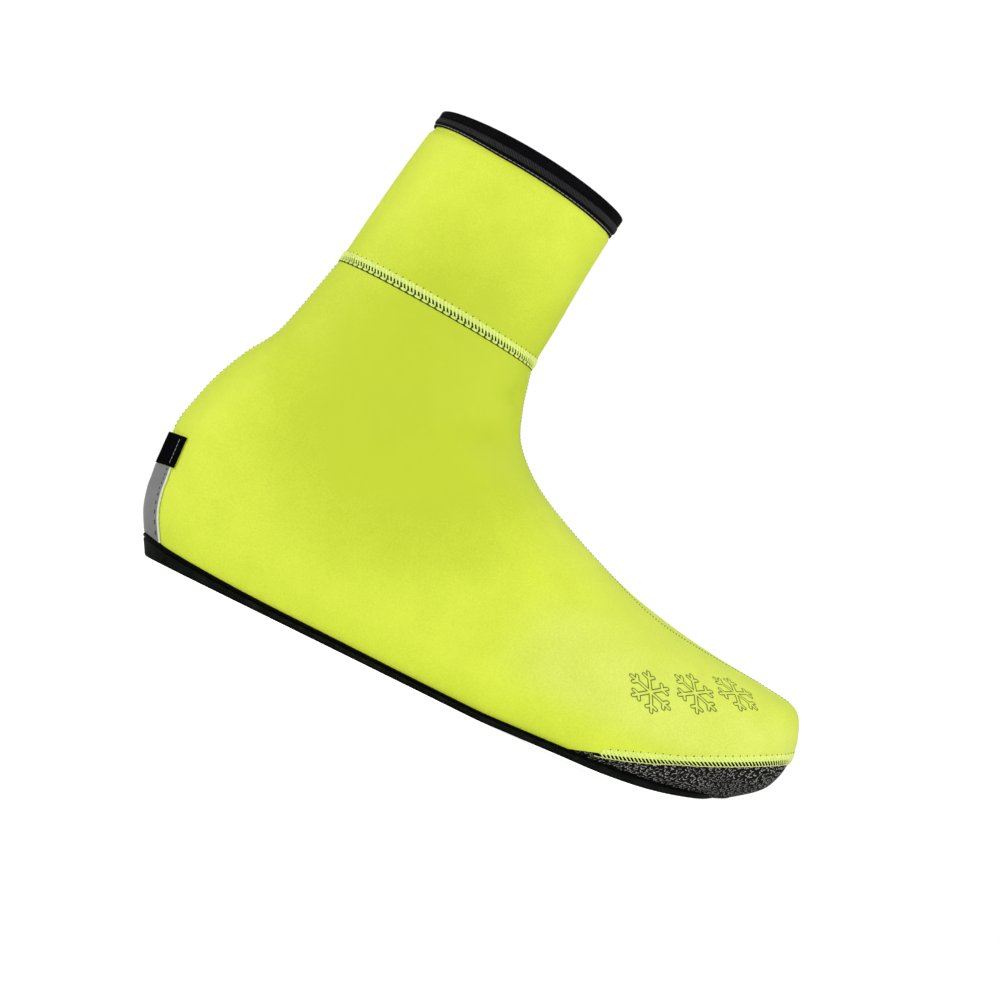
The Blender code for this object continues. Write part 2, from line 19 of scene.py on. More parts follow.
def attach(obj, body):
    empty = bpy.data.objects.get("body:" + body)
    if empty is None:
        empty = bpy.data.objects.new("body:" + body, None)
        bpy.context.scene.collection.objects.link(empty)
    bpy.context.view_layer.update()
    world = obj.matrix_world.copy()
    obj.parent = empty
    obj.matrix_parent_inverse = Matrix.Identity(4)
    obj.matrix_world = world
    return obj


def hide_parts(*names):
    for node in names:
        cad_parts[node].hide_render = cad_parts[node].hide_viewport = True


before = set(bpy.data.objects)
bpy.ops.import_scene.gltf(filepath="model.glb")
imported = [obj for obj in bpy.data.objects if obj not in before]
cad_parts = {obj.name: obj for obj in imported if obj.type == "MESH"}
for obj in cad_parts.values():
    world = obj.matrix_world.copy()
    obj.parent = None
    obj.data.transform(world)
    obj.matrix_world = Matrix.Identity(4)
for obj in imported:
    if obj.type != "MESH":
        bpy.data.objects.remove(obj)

LOG = logging.getLogger("overshoe")
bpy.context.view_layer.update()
MM = 0.001

Array = np.ndarray
Colour = tuple[float, float, float]


class Section(NamedTuple):
    """One section round the foot: its two ends, how they round off, and its half widths."""

    back_x: float
    back_z: float
    front_x: float
    front_z: float
    spring: float
    tail: float
    nose: float
    blunt: float
    heel: float
    waist: float
    ball: float
    toe: float
    swing: float
    lean: float


class CuffSection(NamedTuple):
    """One section of the ankle cuff, above the foot's sections."""

    back_x: float
    back_z: float
    front_x: float
    front_z: float
    half_width: float


# From the sole edge up to the cuff seam, in shares of the length, the foot height and the half widths
FOOT_SECTIONS = (
    Section(.050, .000, .940, .000, 1.00, .135, .200, 2.2, .86, .86, .86, .76, 1.0, .0),
    Section(.037, .045, .978, .042, .80, .145, .200, 2.2, .93, .94, .94, .84, 1.0, .0),
    Section(.020, .108, .993, .134, .50, .155, .200, 2.2, .98, .99, .99, .89, 1.0, .0),
    Section(.012, .164, .997, .245, .20, .160, .200, 2.2, 1.00, 1.01, 1.00, .90, 1.0, .1),
    Section(.010, .199, .992, .345, .00, .160, .200, 2.2, 1.00, 1.02, .99, .90, 1.0, .3),
    Section(.008, .233, .971, .413, .00, .160, .200, 2.1, 1.00, 1.02, .98, .89, 1.0, .5),
    Section(.007, .275, .917, .433, .00, .160, .198, 2.1, 1.00, 1.02, .97, .88, 1.0, .8),
    Section(.006, .324, .838, .447, .00, .160, .196, 2.0, 1.00, 1.02, .96, .87, 1.0, 1.0),
    Section(.006, .380, .759, .470, .00, .160, .192, 2.0, .99, 1.02, .94, .84, .95, 1.0),
    Section(.014, .450, .676, .509, .00, .160, .185, 2.0, .99, 1.01, .92, .81, .85, .9),
    Section(.026, .533, .579, .582, .00, .158, .175, 2.0, .97, .99, .88, .77, .65, .7),
    Section(.048, .631, .505, .656, .00, .155, .168, 2.0, .96, .97, .82, .72, .45, .4),
    Section(.075, .721, .457, .742, .00, .153, .163, 2.0, .95, .95, .77, .67, .25, .1),
    Section(.089, .812, .438, .826, .00, .152, .160, 2.0, .94, .94, .73, .63, .10, .0),
    Section(.100, .902, .428, .902, .00, .154, .158, 2.0, .94, .94, .70, .60, .00, .0),
    Section(.111, 1.00, .423, .962, .00, .155, .156, 2.0, .94, .94, .70, .60, .00, .0),
)

CUFF_SECTIONS = (
    CuffSection(.120, .26, .428, .25, .96),
    CuffSection(.133, .62, .434, .60, .98),
    CuffSection(.149, .993, .443, .969, .99),
)

CUFF_SEAM_T = float(len(FOOT_SECTIONS) - 1)
COLLAR_T = CUFF_SEAM_T + len(CUFF_SECTIONS)

# Stations as shares of the length, each with a share of the size that its method names
STATIONS = (.13, .41, .70, .86)
SPRING_TABLE = (
    (.56, .00), (.62, .05), (.69, .12), (.76, .19), (.83, .36),
    (.90, .70), (.93, .97), (.97, 1.30), (1.0, 1.50),
)
SWING_TABLE = ((.13, .0), (.41, -.35), (.70, .0), (.86, .75), (1.0, 1.1))
LEAN_TABLE = ((.41, .0), (.70, 1.0))
RIM_STATIONS = (.04, .09, .20, .33, .52, .70, .775, .83, .865, .91, .94)


class Side(Enum):
    """Sides of the foot that a crease may lie on."""

    OUTER = -1
    INNER = 1
    BOTH = 0


@dataclass(frozen=True)
class Crease:
    """A soft trough or ridge. Its path is in shares of the length and the foot height, seen from the side."""

    path: tuple[tuple[float, float], ...]
    width: float
    rise: float
    side: Side = Side.OUTER


CREASES = (
    Crease(((.445, .781), (.372, .705), (.293, .603), (.241, .521)), 9 * MM, -3.2 * MM, Side.BOTH),
    Crease(
        ((.483, .603), (.407, .527), (.345, .452), (.279, .370), (.224, .329)), 9 * MM, 2.1 * MM, Side.BOTH,
    ),
    Crease(((.517, .377), (.414, .274), (.310, .205), (.207, .185)), 8 * MM, -1.8 * MM),
    Crease(((.440, .420), (.350, .335), (.250, .280)), 8 * MM, -1.3 * MM, Side.INNER),
    Crease(
        ((.090, .130), (.238, .130), (.379, .110), (.521, .095), (.690, .115)), 4.5 * MM, 1.0 * MM, Side.BOTH,
    ),
    Crease(((.441, .212), (.552, .171), (.655, .144)), 4.5 * MM, -1.0 * MM),
    Crease(((.125, .955), (.260, .965), (.400, .925)), 3.5 * MM, 1.0 * MM, Side.BOTH),
    Crease(((.432, .840), (.420, .880)), 4 * MM, -1.6 * MM, Side.BOTH),
    Crease(((.110, .790), (.150, .700), (.160, .600)), 7 * MM, -1.3 * MM),
    Crease(((.060, .450), (.090, .560), (.120, .640)), 6 * MM, 1.0 * MM),
)


@dataclass(frozen=True)
class Sizes:
    """Driving sizes of the overshoe, the same as those of its solids."""

    length: float = 290 * MM
    ball_width: float = 100 * MM
    heel_width: float = 70 * MM
    foot_height: float = 146 * MM
    cuff_height: float = 71 * MM
    toe_spring: float = 15.6 * MM
    inflare: float = 6 * MM
    ridge_lean: float = 5 * MM
    vamp_round: float = 36 * MM
    wall: float = 3 * MM
    sole: float = 1.8 * MM
    rim_wall: float = 1.3 * MM
    gap: float = .3 * MM
    edge_round: float = 1.3 * MM
    heel_rim: float = 8.4 * MM
    waist_rim: float = 2.5 * MM
    ball_rim: float = 3.8 * MM
    toe_rim: float = 2.9 * MM
    tape_height: float = 1.6 * MM
    tape_gap: float = .5 * MM
    tape_thickness: float = 1.3 * MM
    guard_length: float = 74 * MM
    guard_foot_height: float = 10 * MM
    guard_toe_height: float = 43 * MM
    guard_sag: float = 2 * MM
    guard_inset: float = .4 * MM
    guard_tip_height: float = .9 * MM
    butt_gap: float = .5 * MM
    collar_press: float = 1.0 * MM
    collar_arch: float = 1.8 * MM

    @property
    def seat(self) -> float:
        """Height of the upper's lower edge over the floor at the heel."""
        return self.sole + self.gap


def smooth_rows(values: Array, position: Array) -> Array:
    """Smooth value of an evenly spaced table at fractional rows.

    Args:
        values: The table, one value for each row.
        position: Fractional row numbers.

    Returns:
        The values there, with the shape of position.
    """
    last = len(values) - 1
    i = np.clip(np.floor(position).astype(int), 0, last - 1)
    u = position - i
    a, b = values[i], values[i + 1]
    before = np.where(i > 0, values[np.maximum(i - 1, 0)], 2 * a - b)
    after = np.where(i + 2 <= last, values[np.minimum(i + 2, last)], 2 * b - a)
    h = u * u * (3 - 2 * u)
    bends = (b - before) / 2 * (u - 2 * u * u + u ** 3) + (after - a) / 2 * (u ** 3 - u * u)
    return a + (b - a) * h + bends


def along(stations: Sequence[float], values: Sequence, x: Array) -> Array:
    """Smooth value at x between values given at stations, held level past the ends.

    Args:
        stations: Rising places of the values.
        values: One value, or one array as x, for each station.
        x: Places to read.

    Returns:
        The values there.
    """
    last = len(stations) - 1
    slopes = [0.0] * (last + 1)
    for k in range(1, last):
        slopes[k] = (values[k + 1] - values[k - 1]) / (stations[k + 1] - stations[k - 1])
    result = np.where(x <= stations[0], values[0], values[last])
    for k in range(last):
        step = stations[k + 1] - stations[k]
        u = np.clip((x - stations[k]) / step, 0.0, 1.0)
        h = u * u * (3 - 2 * u)
        bends = slopes[k] * (u - 2 * u * u + u ** 3) + slopes[k + 1] * (u ** 3 - u * u)
        piece = values[k] + (values[k + 1] - values[k]) * h + bends * step
        result = np.where((x >= stations[k]) & (x <= stations[k + 1]), piece, result)
    return result


def unit(vectors: Array) -> Array:
    """Vectors at length one."""
    return vectors / np.maximum(np.linalg.norm(vectors, axis=-1, keepdims=True), 1e-12)


def rounded_end(distance: Array, reach: Array, exponent: Array) -> Array:
    """Share of the full width at a distance from a section's rounded end."""
    u = np.clip(distance / reach, 0.0, 1.0)
    return (1 - (1 - u) ** exponent) ** (1 / exponent)


def fade(value: Array, low: float, high: float) -> Array:
    """Smooth step from 0 at low to 1 at high."""
    u = np.clip((value - low) / (high - low), 0.0, 1.0)
    return u * u * (3 - 2 * u)


class Last:
    """The overshoe's outer form, with its creases. Points are found by section number t and by turn.

    turn is 0 at the toe and 1 at the heel, and passes the outer side between them.
    """

    OUTLINE_STEPS = 24
    SLOPE_STEP = .004
    HIGHEST_EDGE_T = 6.0
    TRUE_NORMAL_T = .8
    HALVINGS = 22
    CREASE_FADE = .2
    CREASE_END = .25
    CREASE_FACING = (.05, .5)
    PRESSED_T = (COLLAR_T - .33, COLLAR_T - .27)
    ARCHED_T = (COLLAR_T - 2.0, COLLAR_T)
    TIP_TURNS = (.05, .6)
    THINNING = .88
    THINNING_PLACES = (.84, .935)
    SINK = .6 * MM
    SINK_PLACES = (.885, .94)
    WRAP_EXTRA = .1 * MM
    WRAP_PLACES = (.885, .935)

    def __init__(self, sizes: Sizes) -> None:
        """Works out the sections and the front outline from the sizes.

        Args:
            sizes: The driving sizes.
        """
        self.sizes = sizes
        self.origin = sizes.length / 2
        rows = self._absolute_rows()
        self.columns = {name: np.array([getattr(row, name) for row in rows]) for name in Section._fields}
        self._trace_outline()

    def _absolute_rows(self) -> list[Section]:
        """Both tables as real sizes, one Section for each row from the sole to the collar.

        Returns:
            The rows, from the sole to the collar.
        """
        z = self.sizes
        half_ball, half_heel, rise = z.ball_width / 2, z.heel_width / 2, z.foot_height - z.seat
        rows = []
        for s in FOOT_SECTIONS:
            rows.append(Section(
                s.back_x * z.length, z.seat + s.back_z * rise,
                s.front_x * z.length, z.seat + s.front_z * rise,
                s.spring, s.tail * z.length, s.nose * z.length, s.blunt,
                s.heel * half_heel, s.waist * half_heel, s.ball * half_ball, s.toe * half_ball,
                s.swing * z.inflare, s.lean * z.ridge_lean,
            ))
        ankle = rows[-1]
        for c in CUFF_SECTIONS:
            half_length = (c.front_x - c.back_x) * z.length / 2
            width = c.half_width * half_heel
            rows.append(Section(
                c.back_x * z.length, z.foot_height + c.back_z * z.cuff_height,
                c.front_x * z.length, ankle.front_z + c.front_z * z.cuff_height,
                0.0, half_length, half_length, 2.0, width, width, ankle.ball, ankle.toe, 0.0, 0.0,
            ))
        return rows

    def _trace_outline(self) -> None:
        """Front outline of the side view, and the ridge of the vamp on it."""
        s = self.section(np.arange(int(COLLAR_T * self.OUTLINE_STEPS) + 1) / self.OUTLINE_STEPS)
        line = np.stack([s.front_x, s.front_z + s.spring * self.toe_spring(s.front_x)], -1)
        self.outline = np.vstack([line, line[-1] + (line[-1] - line[-2]) * self.OUTLINE_STEPS])
        tip = int(self.outline[:, 0].argmax())
        throat = tip + int(self.outline[tip:, 0].argmin())
        self.ridge = self.outline[tip:throat + 1][::-1]

    def section(self, t: Array) -> Section:
        """Sections at fractional row numbers, each field an array."""
        return Section(*(smooth_rows(self.columns[name], t) for name in Section._fields))

    def toe_spring(self, x: Array) -> Array:
        """Lift of the sole over the floor at a distance from the heel."""
        stations, shares = zip(*SPRING_TABLE)
        return self.sizes.toe_spring * along(stations, shares, x / self.sizes.length)

    def _rounding(self, s: Section, x: Array, z: Array) -> Array:
        """Share of the half width that is left where the skin nears the outline ahead of it or above it.

        Args:
            s: Sections at the points.
            x: Distances from the heel.
            z: Heights over the floor.

        Returns:
            Shares from 0 to 1.
        """
        ahead = (np.interp(z, self.outline[:, 1], self.outline[:, 0]) - x) / s.nose
        near = 1 / np.maximum(1e-6, ahead) ** 2
        above = (np.interp(x, self.ridge[:, 0], self.ridge[:, 1]) - z) / self.sizes.vamp_round
        grown = np.clip((x - self.ridge[0, 0]) / self.sizes.vamp_round, 0.0, 1.0)
        under = (z < self.ridge[0, 1]) & (x > self.ridge[0, 0])
        near = near + np.where(under, grown / np.maximum(1e-6, above) ** 2, 0.0)
        return rounded_end(near ** -.5, 1.0, s.blunt)

    def skin(self, t: Array, turn: Array) -> Array:
        """Points of the plain outer surface, without creases.

        Args:
            t: Section numbers.
            turn: Turns round the foot.

        Returns:
            The points, with a last axis of 3.
        """
        t, turn = np.broadcast_arrays(np.asarray(t, float), np.asarray(turn, float))
        s = self.section(t)
        share = (1 + np.cos(np.pi * turn)) / 2
        x = s.back_x + share * (s.front_x - s.back_x)
        z = s.back_z + share * (s.front_z - s.back_z) + s.spring * self.toe_spring(x)
        z = z + self.sizes.collar_arch * 4 * share * (1 - share) * fade(t, *self.ARCHED_T)
        place = x / self.sizes.length
        width = along(STATIONS, (s.heel, s.waist, s.ball, s.toe), place)
        width = width * rounded_end(x - s.back_x, s.tail, 2.0)
        width = width * np.where(share < 1, self._rounding(s, x, z), 0.0)
        swing, lean = zip(*SWING_TABLE), zip(*LEAN_TABLE)
        centre = s.swing * along(*swing, place) + s.lean * along(*lean, place)
        side = np.where(np.sin(np.pi * turn) > 0, -1.0, 1.0)
        return np.stack([x - self.origin, centre + side * width, z], -1)

    def normal(self, t: Array, turn: Array) -> Array:
        """Outward normals of the skin, laid level at the sole's edge.

        Args:
            t: Section numbers.
            turn: Turns round the foot.

        Returns:
            Directions of length one.
        """
        h = self.SLOPE_STEP
        up = self.skin(np.minimum(t + h, COLLAR_T), turn) - self.skin(np.maximum(t - h, 0.0), turn)
        round_foot = self.skin(t, turn + h) - self.skin(t, turn - h)
        out = unit(np.cross(up, round_foot))
        out[..., 2] *= np.minimum(1.0, t / self.TRUE_NORMAL_T)
        return unit(out)

    def relief(self, points: Array, normals: Array) -> Array:
        """Rise of the creases over the plain skin.

        Args:
            points: Points of the plain skin.
            normals: Outward normals there.

        Returns:
            Heights over the skin.
        """
        x = points[..., 0] + self.origin
        z = points[..., 2]
        total = np.zeros_like(x)
        for crease in CREASES:
            path = np.array(crease.path) * (self.sizes.length, self.sizes.foot_height)
            steps = np.linalg.norm(np.diff(path, axis=0), axis=1)
            starts = np.concatenate([[0.0], np.cumsum(steps)])
            nearest = np.full_like(x, np.inf)
            run = np.zeros_like(x)
            for k, step in enumerate(steps):
                (ax, az), (bx, bz) = path[k], path[k + 1]
                u = np.clip(((x - ax) * (bx - ax) + (z - az) * (bz - az)) / step ** 2, 0.0, 1.0)
                away = np.hypot(x - ax - u * (bx - ax), z - az - u * (bz - az))
                run = np.where(away < nearest, starts[k] + u * step, run)
                nearest = np.minimum(nearest, away)
            reach = self.CREASE_FADE * starts[-1]
            ends = fade(run, 0.0, reach) * fade(starts[-1] - run, 0.0, reach)
            share = self.CREASE_END + (1 - self.CREASE_END) * ends
            hill = np.exp(-.5 * (nearest / crease.width) ** 2) * share
            if crease.side is not Side.BOTH:
                hill = hill * (np.sign(normals[..., 1]) == crease.side.value)
            total += crease.rise * hill
        return total * fade(np.abs(normals[..., 1]), *self.CREASE_FACING)

    def surface(self, t: Array, turn: Array, depth: Array = 0.0) -> Array:
        """Points of the creased surface, at a depth outside (+) or inside (-) of it."""
        points, normals = self.skin(t, turn), self.normal(t, turn)
        return points + normals * (self.relief(points, normals) + depth)[..., None]

    def pressed(self, t: Array, turn: Array, depth: Array = 0.0) -> Array:
        """Points of the creased surface of the cuff, pressed in where the collar's binding holds it."""
        hold = fade(t, *self.PRESSED_T)
        return self.surface(t, turn, depth - self.sizes.collar_press * hold)

    def climb(self, t: Array, turn: Array) -> Array:
        """Length along the skin for one step of t."""
        low, high = t - self.SLOPE_STEP, np.minimum(t + self.SLOPE_STEP, COLLAR_T)
        return np.linalg.norm(self.skin(high, turn) - self.skin(low, turn), axis=-1) / (high - low)

    @staticmethod
    def solve(value: Callable[[Array], Array], low: Array, high: Array) -> Array:
        """Zeros of a rising function between two arrays of parameters.

        Args:
            value: The function.
            low: Parameters below the zeros.
            high: Parameters above the zeros.

        Returns:
            The zeros.
        """
        for _ in range(Last.HALVINGS):
            middle = (low + high) / 2
            over = value(middle) > 0
            high = np.where(over, middle, high)
            low = np.where(over, low, middle)
        return (low + high) / 2

    def level_t(self, turn: Array, height: Array) -> Array:
        """Section number at a height over the sole's underside, measured up the wall.

        Args:
            turn: Turns round the foot.
            height: Heights over the underside.

        Returns:
            Section numbers.
        """
        edge = self.skin(0.0, turn)

        def over(t: Array) -> Array:
            """Length up the wall past the height."""
            return np.linalg.norm(self.skin(t, turn) - edge, axis=-1) - (height - self.sizes.seat)
        return self.solve(over, np.zeros_like(turn), np.full_like(turn, self.HIGHEST_EDGE_T))

    def guard_edge_height(self, x: Array) -> Array:
        """Height of the toe guard's upper edge at a distance from the heel.

        Args:
            x: Distances from the heel.

        Returns:
            Heights over the floor.
        """
        z = self.sizes
        u = (x - (z.length - z.guard_length)) / z.guard_length
        rise = z.guard_toe_height - z.guard_foot_height
        bent = rise * u - 4 * z.guard_sag * u * (1 - u)
        return z.guard_foot_height + np.where(u < 0, (rise - 4 * z.guard_sag) * u, bent)

    def guard_t(self, turn: Array, shift: float = 0.0) -> Array:
        """Section number where the skin crosses the guard's edge, shifted up or down.

        Args:
            turn: Turns round the foot.
            shift: Distance by which the edge is moved up.

        Returns:
            Section numbers, 0 where the edge is past the sole.
        """
        def over(t: Array) -> Array:
            """Height of the skin over the edge."""
            p = self.skin(t, turn)
            return p[..., 2] - self.guard_edge_height(p[..., 0] + self.origin) - shift
        turn = np.asarray(turn, float)
        crossed = self.solve(over, np.zeros_like(turn), np.full_like(turn, self.HIGHEST_EDGE_T))
        return np.where(over(np.zeros_like(turn)) >= 0, 0.0, crossed)

    def guard_tip_turn(self) -> float:
        """Turn at which the guard's end stands at its blunt tip height over the sole's seat.

        Returns:
            The turn.
        """
        def past(turn: Array) -> Array:
            """Height that the tip has over what is left there."""
            p = self.skin(0.0, turn)
            return self.sizes.guard_tip_height - (self.guard_edge_height(p[..., 0] + self.origin) - p[..., 2])
        return float(self.solve(past, *(np.array(turn) for turn in self.TIP_TURNS)))

    def edge_place(self, turn: Array) -> Array:
        """Place of the sole's edge, as a share of the length."""
        return (self.skin(0.0, turn)[..., 0] + self.origin) / self.sizes.length

    def rim_height(self, turn: Array) -> Array:
        """Height of the sole's rim over its underside, measured up the wall.

        Args:
            turn: Turns round the foot.

        Returns:
            Heights at those turns.
        """
        z = self.sizes
        drop = z.heel_rim - z.waist_rim
        heights = (
            z.heel_rim, z.waist_rim + .5 * drop, z.waist_rim + .1 * drop, z.waist_rim, z.waist_rim,
            z.ball_rim, 1.3 * z.ball_rim, 1.25 * z.ball_rim, z.ball_rim, .9 * z.toe_rim, .6 * z.toe_rim,
        )
        return along(RIM_STATIONS, heights, self.edge_place(turn))

    def tape_top(self, turn: Array) -> Array:
        """Height over the sole's underside of the sole tape's upper edge."""
        return self.rim_height(turn) + self.sizes.tape_gap + self.sizes.tape_height

    def toe_thinning(self, turn: Array) -> Array:
        """Share of the rim's thickness that is left as it nears the toe."""
        return 1 - self.THINNING * fade(self.edge_place(turn), *self.THINNING_PLACES)

    def toe_sink(self, turn: Array) -> Array:
        """Depth to which the rim sinks into the guard at the toe."""
        return self.SINK * fade(self.edge_place(turn), *self.SINK_PLACES)

    def guard_drop(self, turn: Array) -> Array:
        """Depth to which the guard wraps round the sole's edge at the toe."""
        return (self.sizes.seat + self.WRAP_EXTRA) * fade(self.edge_place(turn), *self.WRAP_PLACES)

    def heel_t(self, height: float) -> float:
        """Section number at a height over the floor on the heel's back line.

        Args:
            height: Height over the floor.

        Returns:
            The section number.
        """
        def over(t: Array) -> Array:
            """Height of the back line over the height asked for."""
            return self.skin(t, 1.0)[..., 2] - height
        return float(self.solve(over, np.array(0.0), np.array(CUFF_SEAM_T)))


class SeamLine:
    """A line on the form that stitches follow, read by the length along it."""

    SAMPLES = 1600

    def __init__(self, last: Last, centre: Callable[[Array], Array], start: float, end: float) -> None:
        """Measures the line.

        Args:
            last: The form that it lies on.
            centre: Section number of the line at each turn.
            start: Turn at its first end.
            end: Turn at its last end.
        """
        self.last = last
        self.turns = np.linspace(start, end, self.SAMPLES)
        self.t = centre(self.turns)
        self.climb = last.climb(self.t, self.turns)
        line = last.skin(self.t, self.turns)
        self.run = np.concatenate([[0.0], np.cumsum(np.linalg.norm(np.diff(line, axis=0), axis=1))])
        self.length = float(self.run[-1])

    def place(self, run: Array, across: Array, height: Array) -> tuple[Array, Array]:
        """Points and normals beside the line.

        Args:
            run: Length along the line.
            across: Distance up the skin from the line.
            height: Height over the skin.

        Returns:
            The points, and the outward normals there.
        """
        turn = np.interp(run, self.run, self.turns)
        t = np.interp(run, self.run, self.t) + across / np.interp(run, self.run, self.climb)
        t = np.clip(t, 0.0, COLLAR_T)
        return self.last.surface(t, turn, height), self.last.normal(t, turn)


class Bench:
    """Makes meshes with the modelling operators, and finishes them as pieces of the overshoe."""

    MERGE = 1e-6
    SMOOTH_ANGLE = math.radians(42)

    @staticmethod
    def grid(
        name: str, columns: int, rows: int, place: Callable[[Array, Array], Array], ring: bool,
    ) -> bpy.types.Object:
        """Sheet of quads put in place by a function of its UV map.

        Args:
            name: Name of the piece.
            columns: Faces along u.
            rows: Faces along v.
            place: Gives the points of arrays u and v, both from 0 to 1.
            ring: Whether u meets itself.

        Returns:
            The new object.
        """
        bpy.ops.object.select_all(action="DESELECT")
        bpy.ops.mesh.primitive_grid_add(x_subdivisions=columns, y_subdivisions=rows, size=1.0, calc_uvs=True)
        piece = bpy.context.active_object
        piece.name = piece.data.name = name
        flat = np.empty(len(piece.data.vertices) * 3, np.float32)
        piece.data.vertices.foreach_get("co", flat)
        flat = flat.reshape(-1, 3).astype(float)
        points = place(flat[:, 0] + .5, flat[:, 1] + .5)
        piece.data.vertices.foreach_set("co", points.astype(np.float32).ravel())
        Bench._measure(piece, points.reshape(rows + 1, columns + 1, 3))
        if ring:
            Bench.merge(piece)
        return piece

    @staticmethod
    def _measure(piece: bpy.types.Object, table: Array) -> None:
        """Adds a UV map in metres: length along the middle row, and length up each column.

        Args:
            piece: The sheet.
            table: Its points, as rows by columns by 3.
        """
        cloth = np.zeros((*table.shape[:2], 2))
        cloth[:, 1:, 0] = np.cumsum(np.linalg.norm(np.diff(table[len(table) // 2], axis=0), axis=1))
        cloth[1:, :, 1] = np.cumsum(np.linalg.norm(np.diff(table, axis=0), axis=2), axis=0)
        corners = np.empty(len(piece.data.loops), np.int32)
        piece.data.loops.foreach_get("vertex_index", corners)
        layer = piece.data.uv_layers.new(name="cloth")
        layer.data.foreach_set("uv", cloth.reshape(-1, 2)[corners].astype(np.float32).ravel())

    @staticmethod
    def edit(piece: bpy.types.Object, operator: Callable, **settings: object) -> None:
        """Runs an edit mode operator on all of a piece.

        Args:
            piece: The piece.
            operator: The operator.
            settings: Its settings.
        """
        Bench.pick(piece)
        bpy.ops.object.mode_set(mode="EDIT")
        bpy.ops.mesh.select_all(action="SELECT")
        operator(**settings)
        bpy.ops.object.mode_set(mode="OBJECT")

    @staticmethod
    def merge(piece: bpy.types.Object) -> None:
        """Merges the points of a piece that lie on each other."""
        Bench.edit(piece, bpy.ops.mesh.remove_doubles, threshold=Bench.MERGE)

    @staticmethod
    def face_outwards(piece: bpy.types.Object) -> None:
        """Turns the faces of a closed piece outwards."""
        Bench.edit(piece, bpy.ops.mesh.normals_make_consistent, inside=False)

    @staticmethod
    def pick(piece: bpy.types.Object) -> None:
        """Selects one object and nothing else.

        Args:
            piece: The object.
        """
        bpy.ops.object.select_all(action="DESELECT")
        piece.select_set(True)
        bpy.context.view_layer.objects.active = piece

    @staticmethod
    def modify(piece: bpy.types.Object, kind: str, **settings: object) -> None:
        """Adds a modifier with its settings and applies it.

        Args:
            piece: The object.
            kind: The modifier's type.
            settings: Its settings.
        """
        Bench.pick(piece)
        modifier = piece.modifiers.new(kind.lower(), kind)
        for name, value in settings.items():
            setattr(modifier, name, value)
        bpy.ops.object.modifier_apply(modifier=modifier.name)

    @staticmethod
    def from_arrays(name: str, points: Array, faces: Sequence) -> bpy.types.Object:
        """Object of a mesh that is given by its points and faces.

        Args:
            name: Name of the piece.
            points: Its points, with a last axis of 3.
            faces: Its faces, as point numbers.

        Returns:
            The new object.
        """
        mesh = bpy.data.meshes.new(name)
        mesh.from_pydata(points.reshape(-1, 3).tolist(), [], faces)
        piece = bpy.data.objects.new(name, mesh)
        bpy.context.scene.collection.objects.link(piece)
        return piece

    @staticmethod
    def tubes(
        name: str, centre: Array, up: Array, radius: Array, sides: int, ring: bool = False,
    ) -> bpy.types.Object:
        """Many like tubes as one mesh.

        Args:
            name: Name of the piece.
            centre: Middle lines, as tubes by points by 3.
            up: Directions that the tubes' upper sides face, as centre.
            radius: Radii, spread over tubes by points.
            sides: Number of faces round a tube.
            ring: Whether each tube meets itself.

        Returns:
            The new object.
        """
        count, length = centre.shape[:2]
        if ring:
            tangent = np.roll(centre, -1, axis=1) - np.roll(centre, 1, axis=1)
        else:
            tangent = np.gradient(centre, axis=1)
        tangent = unit(tangent)
        across = unit(np.cross(tangent, up))
        lift = np.cross(across, tangent)
        radius = np.broadcast_to(radius, (count, length))[..., None, None]
        angle = 2 * np.pi * np.arange(sides) / sides
        rim = np.cos(angle)[:, None] * across[:, :, None, :] + np.sin(angle)[:, None] * lift[:, :, None, :]
        points = centre[:, :, None, :] + radius * rim
        i = np.arange(count)[:, None, None] * length * sides
        j = np.arange(length if ring else length - 1)[None, :, None]
        k = np.arange(sides)[None, None, :]
        j_next, k_next = (j + 1) % length, (k + 1) % sides
        quads = np.stack([
            i + j * sides + k, i + j_next * sides + k, i + j_next * sides + k_next, i + j * sides + k_next,
        ], -1).reshape(-1, 4).tolist()
        if not ring:
            for tube in range(count):
                first = tube * length * sides
                end = first + (length - 1) * sides
                quads.append([first + side for side in range(sides)])
                quads.append([end + side for side in reversed(range(sides))])
        return Bench.from_arrays(name, points, quads)

    @staticmethod
    def finish(
        piece: bpy.types.Object, slot: str, materials: Sequence[bpy.types.Material],
        nodes: Sequence[str] = (),
    ) -> None:
        """Shades a piece, gives it its materials, and sets it on the frame.

        Args:
            piece: The finished mesh, in place.
            slot: Material slot of the record that it would take its finish from; not used.
            materials: Its materials, unless it has them already.
            nodes: Solids that it stands for.
        """
        if not piece.data.materials:
            for material in materials:
                piece.data.materials.append(material)
        Bench.pick(piece)
        bpy.ops.object.shade_smooth_by_angle(angle=Bench.SMOOTH_ANGLE)
        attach(piece, "root")
        if nodes:
            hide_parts(*nodes)
        LOG.info("%s: %d faces", piece.name, len(piece.data.polygons))


